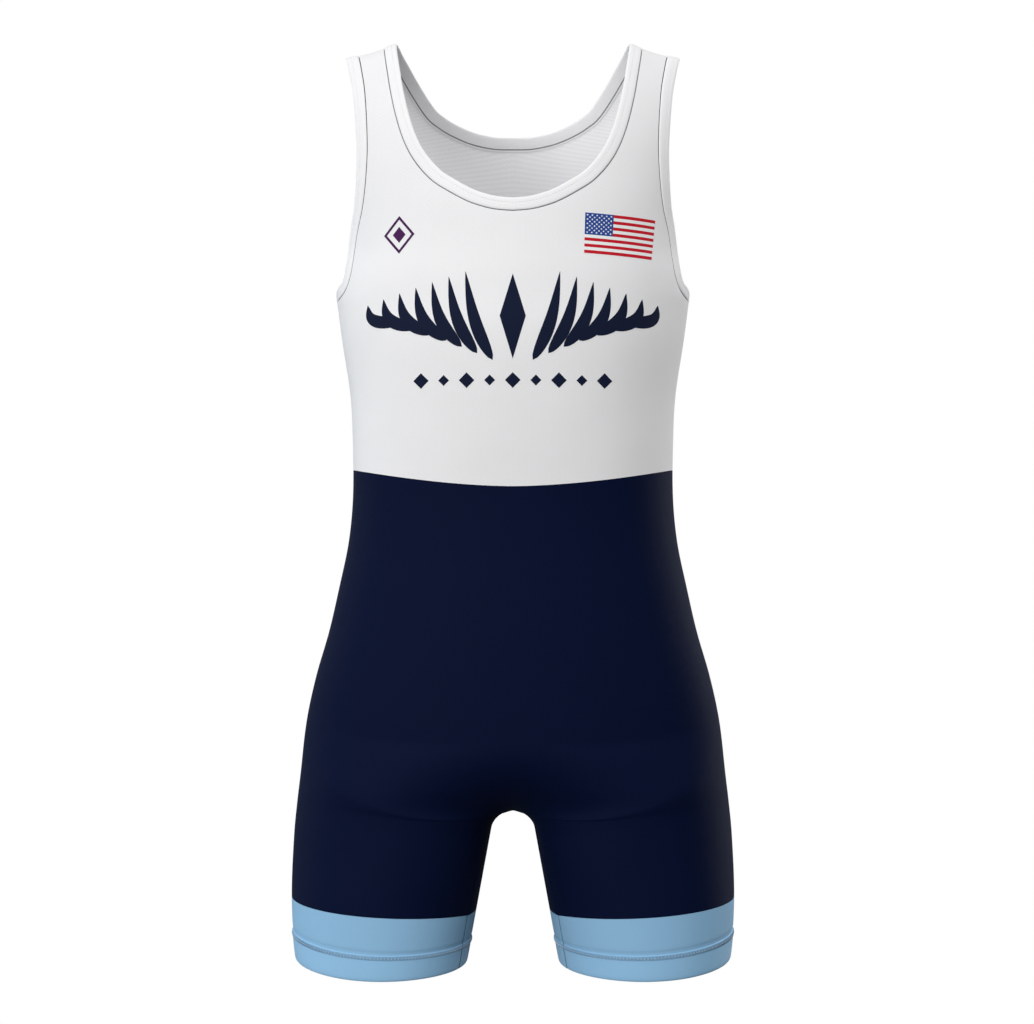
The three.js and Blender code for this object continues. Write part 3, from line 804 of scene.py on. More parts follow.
# Half the gap between two sewn panels, and the widths of the turn-in of the cloth beside a seam:
# on the panels, and on the leg strips at the inseam and, shallower, at the side seam
SEAM_HALF_GAP = 0.12
PANEL_DIP = 1.6
INSEAM_DIP = 1.8
SIDE_DIP, SIDE_DIP_SHARE = 1.4, 0.8


def finish_panel(side, node, colour, points, under, cloth, joined):
    """Makes the cloth of a panel from the points of its half at the wearer's left."""
    shape = Shape()
    shape.add_panel(points, under, cloth, joined, side == FRONT)
    finishes = [material(f"{colour}_knit"), material(f"{colour}_knit_reverse")]
    piece = shape.make(f"{node}_cloth", finishes)
    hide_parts(node)


class SINGLET_OT_upper_panels(bpy.types.Operator):
    """Upper front and back panels with their straps"""

    bl_idname = "singlet.upper_panels"
    bl_label = "Upper Panels"

    def execute(self, context):
        cut = context.scene.singlet_cut
        places = edge_places(TOP_ACROSS, False, True)
        for side, node in ((FRONT, "front_top"), (BACK, "back_top")):
            turns, downs = top_grid(side, places)
            points, out = top_point(side, turns, downs), top_outward(side, turns, downs)
            cloth = top_cloth(side, turns, downs)
            seam_row = NECK_ROWS + ARM_ROWS
            lengths = length_along(points)
            dip = seam_dip(lengths[:, -1:] - lengths, cut.seam_depth / MM, PANEL_DIP)
            # The turn-in begins over three rows at the underarm
            dip *= smooth((np.arange(len(points)) - seam_row + 2) / 3)[:, None]
            points = points - out * dip[..., None]
            points[-1, :, 2] += SEAM_HALF_GAP
            under = points - out * (cut.cloth_thickness / MM)
            for grid in (points, under):
                grid[0, :, 1] = side * SEAM_HALF_GAP
                grid[seam_row:, -1, 1] = side * SEAM_HALF_GAP
                grid[NECK_ROWS:, 0, 0] = 0
            joined = np.arange(len(points)) >= NECK_ROWS
            finish_panel(side, node, "white", points, under, cloth, joined)
        return {"FINISHED"}


class SINGLET_OT_lower_panels(bpy.types.Operator):
    """Lower front and back panels over both legs"""

    bl_idname = "singlet.lower_panels"
    bl_label = "Lower Panels"

    def execute(self, context):
        cut = context.scene.singlet_cut
        levels = np.concatenate(
            [
                np.linspace(WAIST, FORK, TORSO_ROWS, endpoint=False),
                np.linspace(FORK, CROTCH, FORK_ROWS, endpoint=False),
                np.linspace(CROTCH, BAND, LEG_ROWS + 1),
            ]
        )[:, None]
        crotch_row = TORSO_ROWS + FORK_ROWS
        places = edge_places(LOWER_ACROSS, True, True)[None]
        for side, node in ((FRONT, "front_lower"), (BACK, "back_lower")):
            points, out = lower_point(side, places, levels), lower_outward(side, places, levels)
            lengths = length_along(points)
            falls = np.linalg.norm(np.diff(points, axis=0), axis=-1).mean(1)
            drop = np.concatenate([[0], np.cumsum(falls)])
            cloth = cloth_grid(lengths, -drop)
            at_inseam(side, points[crotch_row:], out[crotch_row:], levels[crotch_row:, 0])
            deep = cut.seam_depth / MM
            dip = seam_dip(lengths[:, -1:] - lengths, deep, PANEL_DIP)
            # The inseam's turn-in begins over the first third of the leg
            dip = dip + seam_dip(lengths, deep, PANEL_DIP) * smooth((levels - CROTCH) * 3)
            points = points - out * dip[..., None]
            points[0, :, 2] -= SEAM_HALF_GAP
            points[-1, :, 2] += SEAM_HALF_GAP
            under = points - out * (cut.cloth_thickness / MM)
            for grid in (points, under):
                grid[:, -1, 1] = side * SEAM_HALF_GAP
                grid[: crotch_row + 1, 0, 0] = 0
            joined = np.arange(len(points)) <= crotch_row
            finish_panel(side, node, "navy", points, under, cloth, joined)
        return {"FINISHED"}


def at_inseam(side, points, out, levels):
    """Moves a leg's first points half a gap off the inseam, and gives them its outward direction."""
    zero = np.zeros_like(levels)
    ahead = lower_point(FRONT, zero + NORMAL_STEP, levels)
    forward = ahead - lower_point(BACK, zero + NORMAL_STEP, levels)
    low = lower_point(FRONT, zero, np.minimum(levels + NORMAL_STEP, HEM))
    along = low - lower_point(FRONT, zero, np.maximum(levels - NORMAL_STEP, CROTCH))
    out[:, 0] = unit(np.cross(along, forward))
    points[:, 0] -= unit(np.cross(out[:, 0], along)) * side * SEAM_HALF_GAP


def leg_ring(levels):
    """Points and outward directions round a leg, from the inseam by the front and back to it."""
    places, levels = edge_places(LOWER_ACROSS, True, True), np.asarray(levels, float)
    grids = []
    for side in (FRONT, BACK):
        point = lower_point(side, places[None], levels[:, None])
        out = lower_outward(side, places[None], levels[:, None])
        at_inseam(side, point, out, levels)
        grids.append((point, out))
    return [np.concatenate([front, back[:, -2::-1]], 1) for front, back in zip(*grids)]


def seam_dips(points, deep):
    """Turn-in of a leg strip beside its inseam and its side seam, and the lengths round it."""
    lengths = length_along(points)
    at_side = lengths[:, lengths.shape[1] // 2][:, None]
    dip = seam_dip(lengths, deep, INSEAM_DIP) + seam_dip(lengths[:, -1:] - lengths, deep, INSEAM_DIP)
    return dip + seam_dip(np.abs(lengths - at_side), deep * SIDE_DIP_SHARE, SIDE_DIP), lengths


# Foot of a leg band, which is tucked under the cuff: how far its rows lie above the cuff's edge, as
# shares of the band, and how deep each is sunk. The band's other rows end BAND_END above the edge.
BAND_END = 0.17
BAND_TUCK = [(0.13, 0.1), (0.1, 0.35), (0.05, 0.5), (0, 0.5)]


class SINGLET_OT_leg_bands(bpy.types.Operator):
    """Light blue bands above the hem cuffs"""

    bl_idname = "singlet.leg_bands"
    bl_label = "Leg Bands"

    def execute(self, context):
        cut = context.scene.singlet_cut
        above, sink = np.array(BAND_TUCK).T
        levels = np.concatenate([np.linspace(BAND, CUFF - BAND_END, BAND_ROWS), CUFF - above])
        sunk = np.concatenate([np.zeros(BAND_ROWS), sink])
        points, out = leg_ring(levels)
        dip, lengths = seam_dips(points, cut.seam_depth / MM)
        points = points - out * (dip + sunk[:, None])[..., None]
        points[0, :, 2] -= SEAM_HALF_GAP
        under = points - out * (cut.cloth_thickness / MM)
        cloth = cloth_grid(lengths, points[:, 0, 2])
        for name, hand in HANDS.items():
            shape = Shape()
            face = shape.add_points(points * [hand, 1, 1], cloth)
            back = shape.add_points(under * [hand, 1, 1], cloth)
            # The strips beside the inseam take the darker finish as painted shade.
            shape.add_shell(face, back, seam_shade_finish=2)
            finishes = [material(f"blue_{key}") for key in ("knit", "knit_reverse", "seam_shade")]
            piece = shape.make(f"leg_band_{name}_cloth", finishes)
            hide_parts(f"leg_band_{name}")
        return {"FINISHED"}


# Section of a hem cuff: how far down it from its top edge, and how far off the form
CUFF_SECTION = [
    (0.35, -1.5), (0, -0.9), (0.02, -0.3), (0.12, 0.08), (0.28, 0.25), (0.5, 0.31), (0.85, 0.34),
    (2, 0.36), (5, 0.38), (9, 0.4), (13, 0.4), (17, 0.38), (19.4, 0.3), (20.6, 0.05),
    (21.15, -0.35), (21.3, -0.75), (21.1, -1.15), (20.5, -1.6), (19.2, -1.88), (15, -1.9),
    (9, -1.9), (3, -1.85), (1, -1.75),
]


class SINGLET_OT_leg_cuffs(bpy.types.Operator):
    """Folded hem cuffs at the foot of each leg"""

    bl_idname = "singlet.leg_cuffs"
    bl_label = "Leg Cuffs"

    def execute(self, context):
        cut = context.scene.singlet_cut
        cuff = np.array(CUFF_SECTION)
        points, out = leg_ring(CUFF + cuff[:, 0] / cuff[:, 0].max() * (HEM - CUFF))
        dip, lengths = seam_dips(points, cut.seam_depth / MM)
        points = points + out * (cuff[:, 1:] - dip)[..., None]
        cloth = cloth_grid(lengths, -length_along(cuff[None])[0])
        for name, hand in HANDS.items():
            shape = Shape()
            numbers = shape.add_points(points * [hand, 1, 1], cloth)
            # The strips beside the inseam take the darker finish as painted shade.
            shape.add_shaded_grid(np.concatenate([numbers, numbers[:1]]), 1)
            shape.add_faces(numbers[None, :, 0])
            shape.add_faces(numbers[None, ::-1, -1])
            finishes = [material("blue_cuff_knit"), material("blue_seam_shade")]
            piece = shape.make(f"leg_cuff_{name}_cloth", finishes)
            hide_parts(f"leg_cuff_{name}")
        return {"FINISHED"}


MIRROR = (-1, 1, 1)


def seam_frames(curves, turning, mirrored, spacing):
    """Frames round the neck or an armhole: point, outward direction, aside and along. The neck is
    half a curve and its mirror image. turning is 1 where the binding lies to the left of the way
    round, seen from outside, and -1 where it lies to the right."""
    pieces = []
    for side, share in ((FRONT, 1), (BACK, 0)):
        curve = curves[side]
        length = np.linalg.norm(np.diff(curve.points, axis=0), axis=1).sum()
        count = round(length / spacing)
        shares = np.linspace(share, 1 - share, count + 1)
        half, down = curve.at(shares)
        turn = turn_at(side, half, down)
        if not mirrored:
            turn[shares >= 1] = np.pi / 2
        pieces.append((top_point(side, turn, down), top_outward(side, turn, down)))
    (front, front_out), (back, back_out) = pieces
    shoulder_out = unit(front_out[-1] + back_out[0])
    point = np.concatenate([front, back[1:]])
    out = np.concatenate([front_out[:-1], shoulder_out[None], back_out[1:]])
    if mirrored:
        point = np.concatenate([point, point[-2:0:-1] * MIRROR])
        out = np.concatenate([out, out[-2:0:-1] * MIRROR])
    else:
        point, out = point[:-1], out[:-1]
    along = unit(np.roll(point, -1, 0) - np.roll(point, 1, 0))
    aside = unit(np.cross(out, along)) * turning
    return {"point": point, "out": out, "aside": aside, "along": along}


# Section of a binding: how far off the seam, how far off the form, and whether the strip that
# starts there has the dark finish that is painted shade in the seam's groove. Its first points are
# the allowance under the panel.
# The small dip is the channel that its stitches lie in.
BINDING_WIDTH = 12
STITCH_ROW = 7.6
BINDING_SECTION = [
    (-1.6, -1.25, 1), (0.62, -1.25, 1), (0.7, -0.55, 1), (0.78, -0.1, 0), (1.0, 0.25, 0),
    (1.5, 0.5, 0), (2.8, 0.64, 0), (4.8, 0.72, 0), (6.7, 0.7, 0), (7.2, 0.62, 0),
    (STITCH_ROW, 0.58, 0), (8.0, 0.61, 0), (8.6, 0.65, 0), (10.0, 0.56, 0), (11.0, 0.33, 0),
    (11.7, -0.05, 0), (BINDING_WIDTH, -0.6, 0), (11.85, -1.1, 0), (11.35, -1.5, 0),
    (10.2, -1.72, 0), (6.0, -1.85, 0), (2.4, -1.85, 0), (1.5, -1.8, 1), (1.25, -1.35, 1),
    (0.55, -1.35, 1), (0.3, -1.8, 0), (-1.2, -1.85, 0), (-1.6, -1.7, 0),
]


def binding_shape(frames):
    """A binding's section carried round its seam."""
    across, off, shaded = np.array(BINDING_SECTION).T
    point, out, aside = (frames[key][:, None] for key in ("point", "out", "aside"))
    points = point + aside * across[:, None] + out * off[:, None]
    distance = length_round(frames["point"])
    girth = length_round(np.stack([across, off], -1))
    cloth = np.stack(np.broadcast_arrays(girth[:-1], distance[:-1, None]), -1)
    shape = Shape()
    shape.add_loop(points, cloth, (girth[-1], distance[-1]), shaded.astype(int))
    return shape


class SINGLET_OT_bindings(bpy.types.Operator):
    """Folded bindings round the neck and both armholes"""

    bl_idname = "singlet.bindings"
    bl_label = "Bindings"

    def execute(self, context):
        for name, frames in binding_frames().items():
            # The strips in the seam's groove take the dark finish, painted shade.
            shade = "neck_seam_shade" if name == "neck_binding" else "armhole_seam_shade"
            finishes = [material("white_binding"), material(shade)]
            piece = binding_shape(frames).make(f"{name}_cloth", finishes)
            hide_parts(name)
        return {"FINISHED"}


def binding_frames():
    """The seam frames of each binding."""
    arm = seam_frames(ARM_CURVE, -1, False, BINDING_STEP)
    return {
        "neck_binding": seam_frames(NECK_CURVE, 1, True, BINDING_STEP),
        "armhole_binding_left": arm,
        "armhole_binding_right": {key: value * MIRROR for key, value in arm.items()},
    }


# Rings of a thread: how far along half its length, how high in thread radii, and how thick
THREAD_SIDES = 6
THREAD_RINGS = [(-0.9, 0, 0.55), (-0.72, 0.75, 0.95), (0, 1.05, 1), (0.72, 0.75, 0.95), (0.9, 0, 0.55)]
THREAD_RING_STEP = 0.6


def add_stitches(shape, start, end, out, radius, finish=0):
    """Small arched threads from each start to its end, half sunk in the cloth."""
    middle, reach = (start + end) / 2, (end - start) / 2
    side = unit(np.cross(out, reach))
    angles = np.arange(THREAD_SIDES) * 2 * np.pi / THREAD_SIDES
    rings = []
    for along, rise, size in THREAD_RINGS:
        centre = middle + reach * along + out * (rise * radius)
        aside = side[:, None] * (np.cos(angles) * radius * size)[:, None]
        raised = out[:, None] * (np.sin(angles) * radius * size)[:, None]
        rings.append(centre[:, None] + aside + raised)
    lengths = np.arange(len(THREAD_RINGS))[:, None] * THREAD_RING_STEP
    cloth = np.stack(np.broadcast_arrays(lengths, angles * radius), -1)
    numbers = shape.add_points(np.stack(rings, 1), cloth)
    turned = np.roll(numbers, -1, 2)
    quads = [numbers[:, :-1], turned[:, :-1], turned[:, 1:], numbers[:, 1:]]
    shape.add_faces(np.stack(quads, -1), finish)
    shape.add_faces(numbers[:, 0, ::-1], finish)
    shape.add_faces(numbers[:, -1, :], finish)


def spaced_stations(points, spacing):
    """Even places along a closed line of points, as fractional point numbers."""
    lengths = length_round(points)
    count = max(8, round(lengths[-1] / spacing))
    wanted = np.arange(count) * lengths[-1] / count
    return np.interp(wanted, lengths, np.arange(len(lengths)))


def at_station(values, stations):
    """Values between the points of a closed line, at fractional point numbers."""
    low = np.floor(stations).astype(int) % len(values)
    part = (stations - np.floor(stations))[:, None]
    return mix(values[low], values[(low + 1) % len(values)], part)


# Stitches of a binding: how far off the form they lie, and half of one's length, as a share of the
# stitch length
BINDING_STITCH_RISE = 0.5
BINDING_STITCH_REACH = 0.36

# Cover stitching along a hem cuff's top edge: close slanting threads, and short pale ones over
# them. levels and off say how far each thread's two ends lie below the edge, as shares of the
# cuff, and off the form. spacing and thick are shares of the stitch length and thread radius.
HEM_THREADS = {
    "blue_thread": {"levels": (0.012, 0.2), "off": (0.36, 0.45), "spacing": 0.42, "thick": 1.25},
    "pale_thread": {"levels": (0.085, 0.125), "off": (0.78, 0.78), "spacing": 1, "thick": 1},
}
HEM_SLANT = 0.2


class SINGLET_OT_stitching(bpy.types.Operator):
    """Sewing threads on the bindings and the hems"""

    bl_idname = "singlet.stitching"
    bl_label = "Stitching"

    def execute(self, context):
        cut = context.scene.singlet_cut
        radius, spacing = cut.thread_radius / MM, cut.stitch_length / MM
        for name, frames in binding_frames().items():
            off = frames["out"] * BINDING_STITCH_RISE
            line = frames["point"] + frames["aside"] * STITCH_ROW + off
            stations = spaced_stations(line, spacing)
            middle = at_station(line, stations)
            along, out = (unit(at_station(frames[key], stations)) for key in ("along", "out"))
            shape = Shape()
            reach = along * spacing * BINDING_STITCH_REACH
            add_stitches(shape, middle - reach, middle + reach, out, radius)
            shape.make(f"{name}_stitches", [material("white_thread")])
        for name, hand in HANDS.items():
            shape = hem_stitches(hand, radius, spacing)
            shape.make(f"leg_hem_{name}_stitches", [material(thread) for thread in HEM_THREADS])
        return {"FINISHED"}


def hem_stitches(hand, radius, spacing):
    """The cover stitching of one hem, with each kind of thread as a finish of its own."""
    flip = [hand, 1, 1]
    shape = Shape()
    for finish, thread in enumerate(HEM_THREADS.values()):
        points, out = leg_ring(CUFF + np.array(thread["levels"]))
        points = points + out * np.array(thread["off"])[:, None, None]
        (top, foot), facing = points[:, :-1], out[0, :-1]
        stations = spaced_stations(top, spacing * thread["spacing"])
        start, end = at_station(top, stations), at_station(foot, stations + HEM_SLANT)
        ways = start * flip, end * flip, unit(at_station(facing, stations)) * flip
        add_stitches(shape, *ways, radius * thread["thick"], finish)
    return shape


# Places on the chest are across from the centre line and up from the shoulders, as seen from the
# front. The cloth is this much wider than it looks there, and a print's foot lies this deep in it.
CHEST_SPREAD = 1.08
PRINT_ROOT = -0.35
PRINT_SHARP = 30


def chest_place(x, z):
    """Points, outward directions and cloth coordinates at places on the chest."""
    x, z = np.broadcast_arrays(np.asarray(x, float), np.asarray(z, float))
    down = down_at(z)
    turn = turn_at(FRONT, np.abs(x), down)
    hand = np.where(x < 0, -1, 1)
    flip = np.stack([hand, np.ones_like(hand), np.ones_like(hand)], -1)
    point = top_point(FRONT, turn, down) * flip
    out = top_outward(FRONT, turn, down) * flip
    return point, out, np.stack([x * CHEST_SPREAD, -down], -1)


def add_print(shape, places, height, finish=0):
    """A patch of printed film over a grid of places on the chest, of one finish all round."""
    point, out, cloth = chest_place(*places)
    face = shape.add_points(point + out * height, cloth)
    root = shape.add_points(point + out * PRINT_ROOT, cloth)
    before = len(shape.faces)
    (down_x, across_x), (down_z, across_z) = ((v[1, 0] - v[0, 0], v[0, 1] - v[0, 0]) for v in places)
    shape.add_shell(face, root, flipped=bool(down_x * across_z < down_z * across_x))
    for finishes in shape.finish[before:]:
        finishes[:] = finish


def part_of(corners, across, down):
    """Places in a four-cornered patch, by shares across it and down it. Its corners are given from
    the top left round to the bottom left."""
    top_left, top_right, bottom_right, bottom_left = (np.array(corner, float) for corner in corners)
    across = np.asarray(across)[..., None]
    top, foot = mix(top_left, top_right, across), mix(bottom_left, bottom_right, across)
    return mix(top, foot, np.asarray(down)[..., None])


def patch(corners, rows, columns, across=(0, 1), down=(0, 1)):
    """A grid of places over a four-cornered patch, or over a part of it."""
    (left, right), (top, foot) = across, down
    ends = part_of(corners, (left, right, right, left), (top, top, foot, foot))
    shares = np.linspace(0, 1, columns + 1)[None], np.linspace(0, 1, rows + 1)[:, None]
    places = part_of(ends, *shares)
    return places[..., 0], places[..., 1]


# The flag's corners as it lies on the chest, from the top left round. Its canton is a share of its
# width and the height of its upper stripes, and holds rows of six and five stars by turns.
FLAG_CORNERS = ((61.8, -156.0), (123.6, -158.4), (119.8, -193.6), (60.6, -191.1))
STRIPES, UPPER_STRIPES = 13, 7
CANTON_WIDE, CANTON_TALL = 0.40, UPPER_STRIPES / STRIPES
STAR_ROWS, STAR_COLUMNS = 9, 6
STAR_RADIUS, STAR_NOTCH, STAR_RISE = 0.95, 0.45, 0.06
RED, BLUE, WHITE = range(3)


class SINGLET_OT_flag(bpy.types.Operator):
    """Printed national flag on the chest"""

    bl_idname = "singlet.flag"
    bl_label = "Flag Print"

    def execute(self, context):
        height = context.scene.singlet_cut.print_height / MM
        shape = Shape()
        for k in range(STRIPES):
            left = CANTON_WIDE if k < UPPER_STRIPES else 0
            stripe = patch(FLAG_CORNERS, 1, 24, (left, 1), (k / STRIPES, (k + 1) / STRIPES))
            add_print(shape, stripe, height, WHITE if k % 2 else RED)
        canton = patch(FLAG_CORNERS, 8, 12, (0, CANTON_WIDE), (0, CANTON_TALL))
        add_print(shape, canton, height, BLUE)
        for row in range(STAR_ROWS):
            shift = row % 2
            for column in range(STAR_COLUMNS - shift):
                across = CANTON_WIDE * (2 * column + 1 + shift) / (2 * STAR_COLUMNS)
                down = CANTON_TALL * (row + 1) / (STAR_ROWS + 1)
                add_star(shape, part_of(FLAG_CORNERS, across, down), height + STAR_RISE, WHITE)
        films = [material(f"flag_{colour}_film") for colour in ("red", "blue", "white")]
        shape.make("flag_print", films, sharp=PRINT_SHARP)
        return {"FINISHED"}


def add_star(shape, centre, height, finish):
    """A small five-pointed star of printed film."""
    corners = np.arange(10)
    angles = np.pi / 2 + corners * np.pi / 5
    reach = STAR_RADIUS * np.where(corners % 2 == 0, 1, STAR_NOTCH)
    x, z = centre[0] + np.cos(angles) * reach, centre[1] + np.sin(angles) * reach
    add_fan(shape, centre, x, z, height, finish)


def add_fan(shape, centre, x, z, height, finish=0):
    """A small patch of printed film round a centre, with its corners anticlockwise from the front."""
    count = len(x)
    point, out, cloth = chest_place(np.append(x, centre[0]), np.append(z, centre[1]))
    face = shape.add_points(point + out * height, cloth)
    root = shape.add_points(point + out * PRINT_ROOT, cloth)
    ring = np.arange(count)
    after = (ring + 1) % count
    top = np.stack([face[ring], face[after], np.full(count, face[count])], -1)
    foot = np.stack([root[after], root[ring], np.full(count, root[count])], -1)
    shape.add_faces(top, finish)
    shape.add_faces(foot, finish)
    shape.add_faces(np.stack([face[after], face[ring], root[ring], root[after]], -1), finish)


# The chest motif: blades that fan out from a diamond, above a line of large and small diamonds by
# turns. The first blade's foot and tip are given, and the step from each blade to the next.
BLADES, BLADE_STEPS = 7, 22
BLADE_FOOT, BLADE_FOOT_STEP = (17, -283), (13.0, 5.6)
BLADE_TIP, BLADE_TIP_STEP = (40, -208), (14.2, -4.2)
BLADE_BEND, BLADE_BEND_STEP, BLADE_SAG = 5, 1.2, 0.45
BLADE_HALF, BLADE_POINT = 5.9, 0.12
MIDDLE_DIAMOND = ((0, -246), (11, 36))
LINE_DIAMONDS, LINE_STEP, LINE_Z = 9, 19.5, -300
LINE_REACH = (6.6, 4.6)

# The small motif: a diamond in a diamond ring
SMALL_MOTIF = (-97.5, -173.5)
SMALL_RING, SMALL_RING_WIDE = (13.5, 16.5), 2.6
SMALL_DIAMOND = (5.6, 7.0)


def blade(index):
    """A grid of places over one blade of the chest motif, from its foot to its tip."""
    s = np.linspace(0, 1, BLADE_STEPS + 1)
    foot = np.array(BLADE_FOOT) + np.array(BLADE_FOOT_STEP) * index
    tip = np.array(BLADE_TIP) + np.array(BLADE_TIP_STEP) * index
    line = mix(foot, tip, s[:, None])
    bend = (BLADE_BEND + BLADE_BEND_STEP * index) * np.sin(np.pi * s) * (1 - 0.35 * s)
    line[:, 0] += bend
    line[:, 1] -= bend * BLADE_SAG
    half = BLADE_HALF * np.sin(np.pi * s**0.72) ** 0.8 * (1 - 0.25 * s)
    half = np.maximum(half, BLADE_POINT)[:, None, None]
    across = unit(np.stack([np.gradient(line[:, 1]), -np.gradient(line[:, 0])], -1))
    return line[:, None] + across[:, None] * np.linspace(-1, 1, 5)[None, :, None] * half


class SINGLET_OT_chest_motif(bpy.types.Operator):
    """Printed chest motif of fanned blades and diamonds, and the small motif beside the neck"""

    bl_idname = "singlet.chest_motif"
    bl_label = "Chest Motif"

    def execute(self, context):
        height = context.scene.singlet_cut.print_height / MM
        shape = Shape()
        for hand in HANDS.values():
            for index in range(BLADES):
                places = blade(index)
                add_print(shape, (places[..., 0] * hand, places[..., 1]), height)
        add_diamond(shape, *MIDDLE_DIAMOND, height)
        for k in range(LINE_DIAMONDS):
            reach = LINE_REACH[k % 2]
            add_diamond(shape, ((k - LINE_DIAMONDS // 2) * LINE_STEP, LINE_Z), (reach, reach), height)
        shape.make("chest_motif_print", [material("motif_film")], sharp=PRINT_SHARP)
        small = Shape()
        add_diamond_ring(small, SMALL_MOTIF, SMALL_RING, SMALL_RING_WIDE, height)
        add_diamond(small, SMALL_MOTIF, SMALL_DIAMOND, height)
        small.make("small_motif_print", [material("small_motif_film")], sharp=PRINT_SHARP)
        return {"FINISHED"}


def diamond_corners(centre, reach):
    """A diamond's right, top, left and bottom corners."""
    (x, z), (wide, tall) = centre, reach
    return np.array([(x + wide, z), (x, z + tall), (x - wide, z), (x, z - tall)])


def add_diamond(shape, centre, reach, height):
    right, top, left, bottom = diamond_corners(centre, reach)
    add_print(shape, patch((left, top, right, bottom), 6, 6), height)


def add_diamond_ring(shape, centre, reach, wide, height):
    outer = diamond_corners(centre, reach)
    inner = np.array(centre) + (outer - centre) * (1 - wide / min(reach))
    for k in range(4):
        after = (k + 1) % 4
        corners = (outer[k], outer[after], inner[after], inner[k])
        add_print(shape, patch(corners, 1, 8), height)


class SINGLET_OT_cloth_facts(bpy.types.Operator):
    """Takes no step: it states nothing about the flat cut of the cloth."""

    bl_idname = "singlet.cloth_facts"
    bl_label = "Cloth Facts"

    def execute(self, context):
        return {"FINISHED"}


# The photograph's frame and the camera that took it, in its own pixels
PHOTO_SIZE = (1034, 1024)
FOCAL_PIXELS = 1778
CAMERA_X = 0.0036
CAMERA_Z = -0.4113
SENSOR = 36.0

# Soft lights, in metres: place, target, size, the setting that holds the power and the share of
# it, and colour
CLEAR, BLUISH = (1, 1, 1), (0.75, 0.88, 1)
LIGHTS = {
    "key": ((-1.3, -2.2, -0.25), (0, 0, -0.45), (1.6, 1.8), "key_power", 1, CLEAR),
    "top": ((0.55, -0.95, 1.35), (0, 0, -0.15), (1.9, 1.2), "top_power", 1, CLEAR),
    "rim": ((1.35, 0.75, -0.25), (0, 0, -0.38), (0.35, 1.8), "rim_power", 1, CLEAR),
    "left_rim": ((-1.5, 0.45, -0.3), (0, 0, -0.38), (0.5, 1.8), "rim_power", 0.6, BLUISH),
}

# The room's light fades downwards between these heights of the view, to a share of its strength
ROOM_FADE = (-0.5, 0.6)
ROOM_FOOT = 0.08

# The floor, in metres: its height, and its radius, where it starts to fade and where it has gone
FLOOR_Z = -1.45
FLOOR_RADIUS, FLOOR_CORNERS = 1.85, 96
FLOOR_FADE = (0.7, FLOOR_RADIUS * 0.98)


def add_light(name, place, target, size, power, colour):
    light = bpy.data.lights.new(name, "AREA")
    light.shape = "RECTANGLE"
    light.size, light.size_y = size
    light.energy = power
    light.color = colour
    lamp = bpy.data.objects.new(name, light)
    lamp.location = place
    lamp.rotation_euler = (Vector(target) - Vector(place)).to_track_quat("-Z", "Y").to_euler()
    bpy.context.scene.collection.objects.link(lamp)


class SINGLET_OT_stage(bpy.types.Operator):
    """Camera, floor, room and soft studio lights"""

    bl_idname = "singlet.stage"
    bl_label = "Stage"

    def execute(self, context):
        scene = context.scene
        stage = scene.singlet_stage
        camera = bpy.data.cameras.new("camera")
        camera.sensor_fit = "HORIZONTAL"
        camera.sensor_width = SENSOR
        camera.lens = FOCAL_PIXELS / PHOTO_SIZE[0] * SENSOR
        holder = bpy.data.objects.new("camera", camera)
        holder.location = (CAMERA_X, -stage.camera_distance, CAMERA_Z)
        holder.rotation_euler = (math.pi / 2, 0, 0)
        scene.collection.objects.link(holder)
        scene.camera = holder
        scene.view_settings.view_transform = "Standard"
        scene.view_settings.look = "None"
        for name, (place, target, size, setting, share, colour) in LIGHTS.items():
            add_light(name, place, target, size, share * getattr(stage, setting), colour)
        make_room(scene, stage)
        make_floor(stage)
        return {"FINISHED"}


def make_room(scene, stage):
    """White light from above that fades downwards, with a white background behind the garment."""
    scene.world = bpy.data.worlds.new("room")
    nodes = Nodes(scene.world)
    seen_by_camera = nodes.add("ShaderNodeLightPath").outputs["Is Camera Ray"]
    way = nodes.add("ShaderNodeTexCoord").outputs["Generated"]
    rise = nodes.add("ShaderNodeSeparateXYZ", {"Vector": way}).outputs["Z"]
    strength = nodes.fade(rise, ROOM_FADE, (ROOM_FOOT * stage.room_light, stage.room_light))
    lit = nodes.add("ShaderNodeBackground", {"Color": (1, 1, 1, 1), "Strength": strength}).outputs[0]
    seen = nodes.add("ShaderNodeBackground", {"Color": (1, 1, 1, 1)}).outputs[0]
    both = nodes.add("ShaderNodeMixShader", {0: seen_by_camera, 1: lit, 2: seen}).outputs[0]
    nodes.add("ShaderNodeOutputWorld", {"Surface": both})


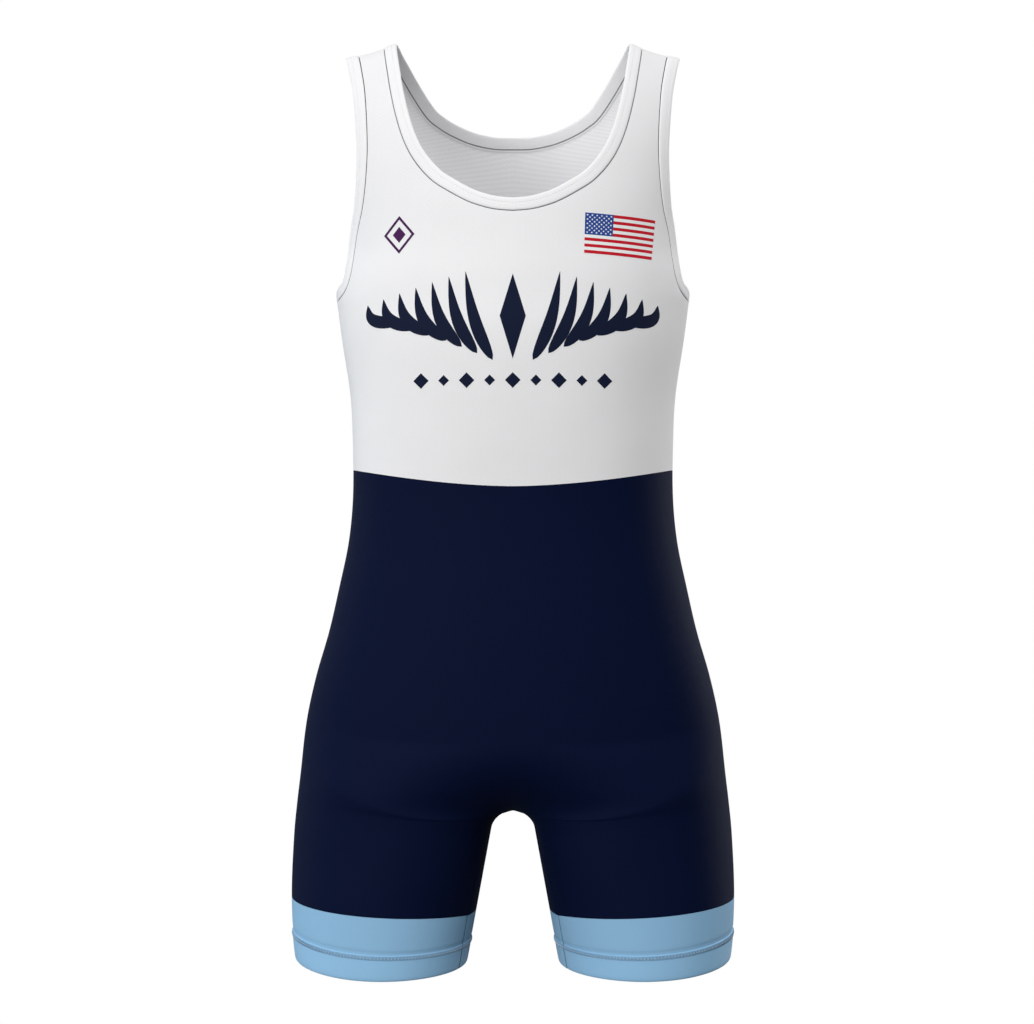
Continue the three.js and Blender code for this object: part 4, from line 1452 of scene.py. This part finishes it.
def make_floor(stage):
    """A round pale floor well below the garment, which fades into the white room at its edge."""
    angles = np.arange(FLOOR_CORNERS) * 2 * np.pi / FLOOR_CORNERS
    ring = [(math.cos(a) * FLOOR_RADIUS, math.sin(a) * FLOOR_RADIUS, FLOOR_Z) for a in angles]
    mesh = bpy.data.meshes.new("floor")
    mesh.from_pydata(ring, [], [list(range(FLOOR_CORNERS))])
    nodes = Nodes(bpy.data.materials.new("floor"))
    place = nodes.add("ShaderNodeTexCoord").outputs["Object"]
    far = nodes.add("ShaderNodeVectorMath", {0: place, 1: (1, 1, 0)}, operation="MULTIPLY").outputs[0]
    far = nodes.add("ShaderNodeVectorMath", {0: far}, operation="LENGTH").outputs["Value"]
    shade = nodes.plus(0.98, nodes.noise(place, 6.0, 4.0), 0.04)
    colour = nodes.tinted(stage.floor_colour, shade)
    surface = nodes.add("ShaderNodeBsdfPrincipled", {"Base Color": colour, "Roughness": 0.9}).outputs[0]
    clear = nodes.add("ShaderNodeBsdfTransparent").outputs[0]
    sockets = {0: nodes.fade(far, FLOOR_FADE, (0, 1)), 1: surface, 2: clear}
    mixed = nodes.add("ShaderNodeMixShader", sockets).outputs[0]
    nodes.add("ShaderNodeOutputMaterial", {"Surface": mixed})
    mesh.materials.append(nodes.owner)
    floor = bpy.data.objects.new("floor", mesh)
    floor.visible_diffuse = floor.visible_glossy = False
    bpy.context.scene.collection.objects.link(floor)


OPERATORS = (
    SINGLET_OT_stage,
    SINGLET_OT_upper_panels,
    SINGLET_OT_lower_panels,
    SINGLET_OT_leg_bands,
    SINGLET_OT_leg_cuffs,
    SINGLET_OT_bindings,
    SINGLET_OT_stitching,
    SINGLET_OT_flag,
    SINGLET_OT_chest_motif,
    SINGLET_OT_cloth_facts,
)


class SINGLET_PT_panel(bpy.types.Panel):
    """The singlet's sizes, colours and pieces"""

    bl_idname = "SINGLET_PT_panel"
    bl_label = "Wrestling Singlet"
    bl_space_type = "VIEW_3D"
    bl_region_type = "UI"
    bl_category = "Singlet"

    def draw(self, context):
        for settings in (
            context.scene.singlet_cut, context.scene.singlet_colours, context.scene.singlet_stage,
        ):
            box = self.layout.box()
            for key in settings.__annotations__:
                box.prop(settings, key)
        for operator in OPERATORS:
            self.layout.operator(operator.bl_idname)


CLASSES = (SingletCut, SingletColours, SingletStage, *OPERATORS, SINGLET_PT_panel)


def register():
    for cls in CLASSES:
        bpy.utils.register_class(cls)
    bpy.types.Scene.singlet_cut = PointerProperty(type=SingletCut)
    bpy.types.Scene.singlet_colours = PointerProperty(type=SingletColours)
    bpy.types.Scene.singlet_stage = PointerProperty(type=SingletStage)


def unregister():
    del bpy.types.Scene.singlet_stage
    del bpy.types.Scene.singlet_colours
    del bpy.types.Scene.singlet_cut
    for cls in reversed(CLASSES):
        bpy.utils.unregister_class(cls)


def main():
    register()
    bpy.ops.singlet.stage()
    bpy.ops.singlet.upper_panels()
    bpy.ops.singlet.lower_panels()
    bpy.ops.singlet.leg_bands()
    bpy.ops.singlet.leg_cuffs()
    bpy.ops.singlet.bindings()
    bpy.ops.singlet.stitching()
    bpy.ops.singlet.flag()
    bpy.ops.singlet.chest_motif()
    bpy.ops.singlet.cloth_facts()


if __name__ == "__main__":
    main()
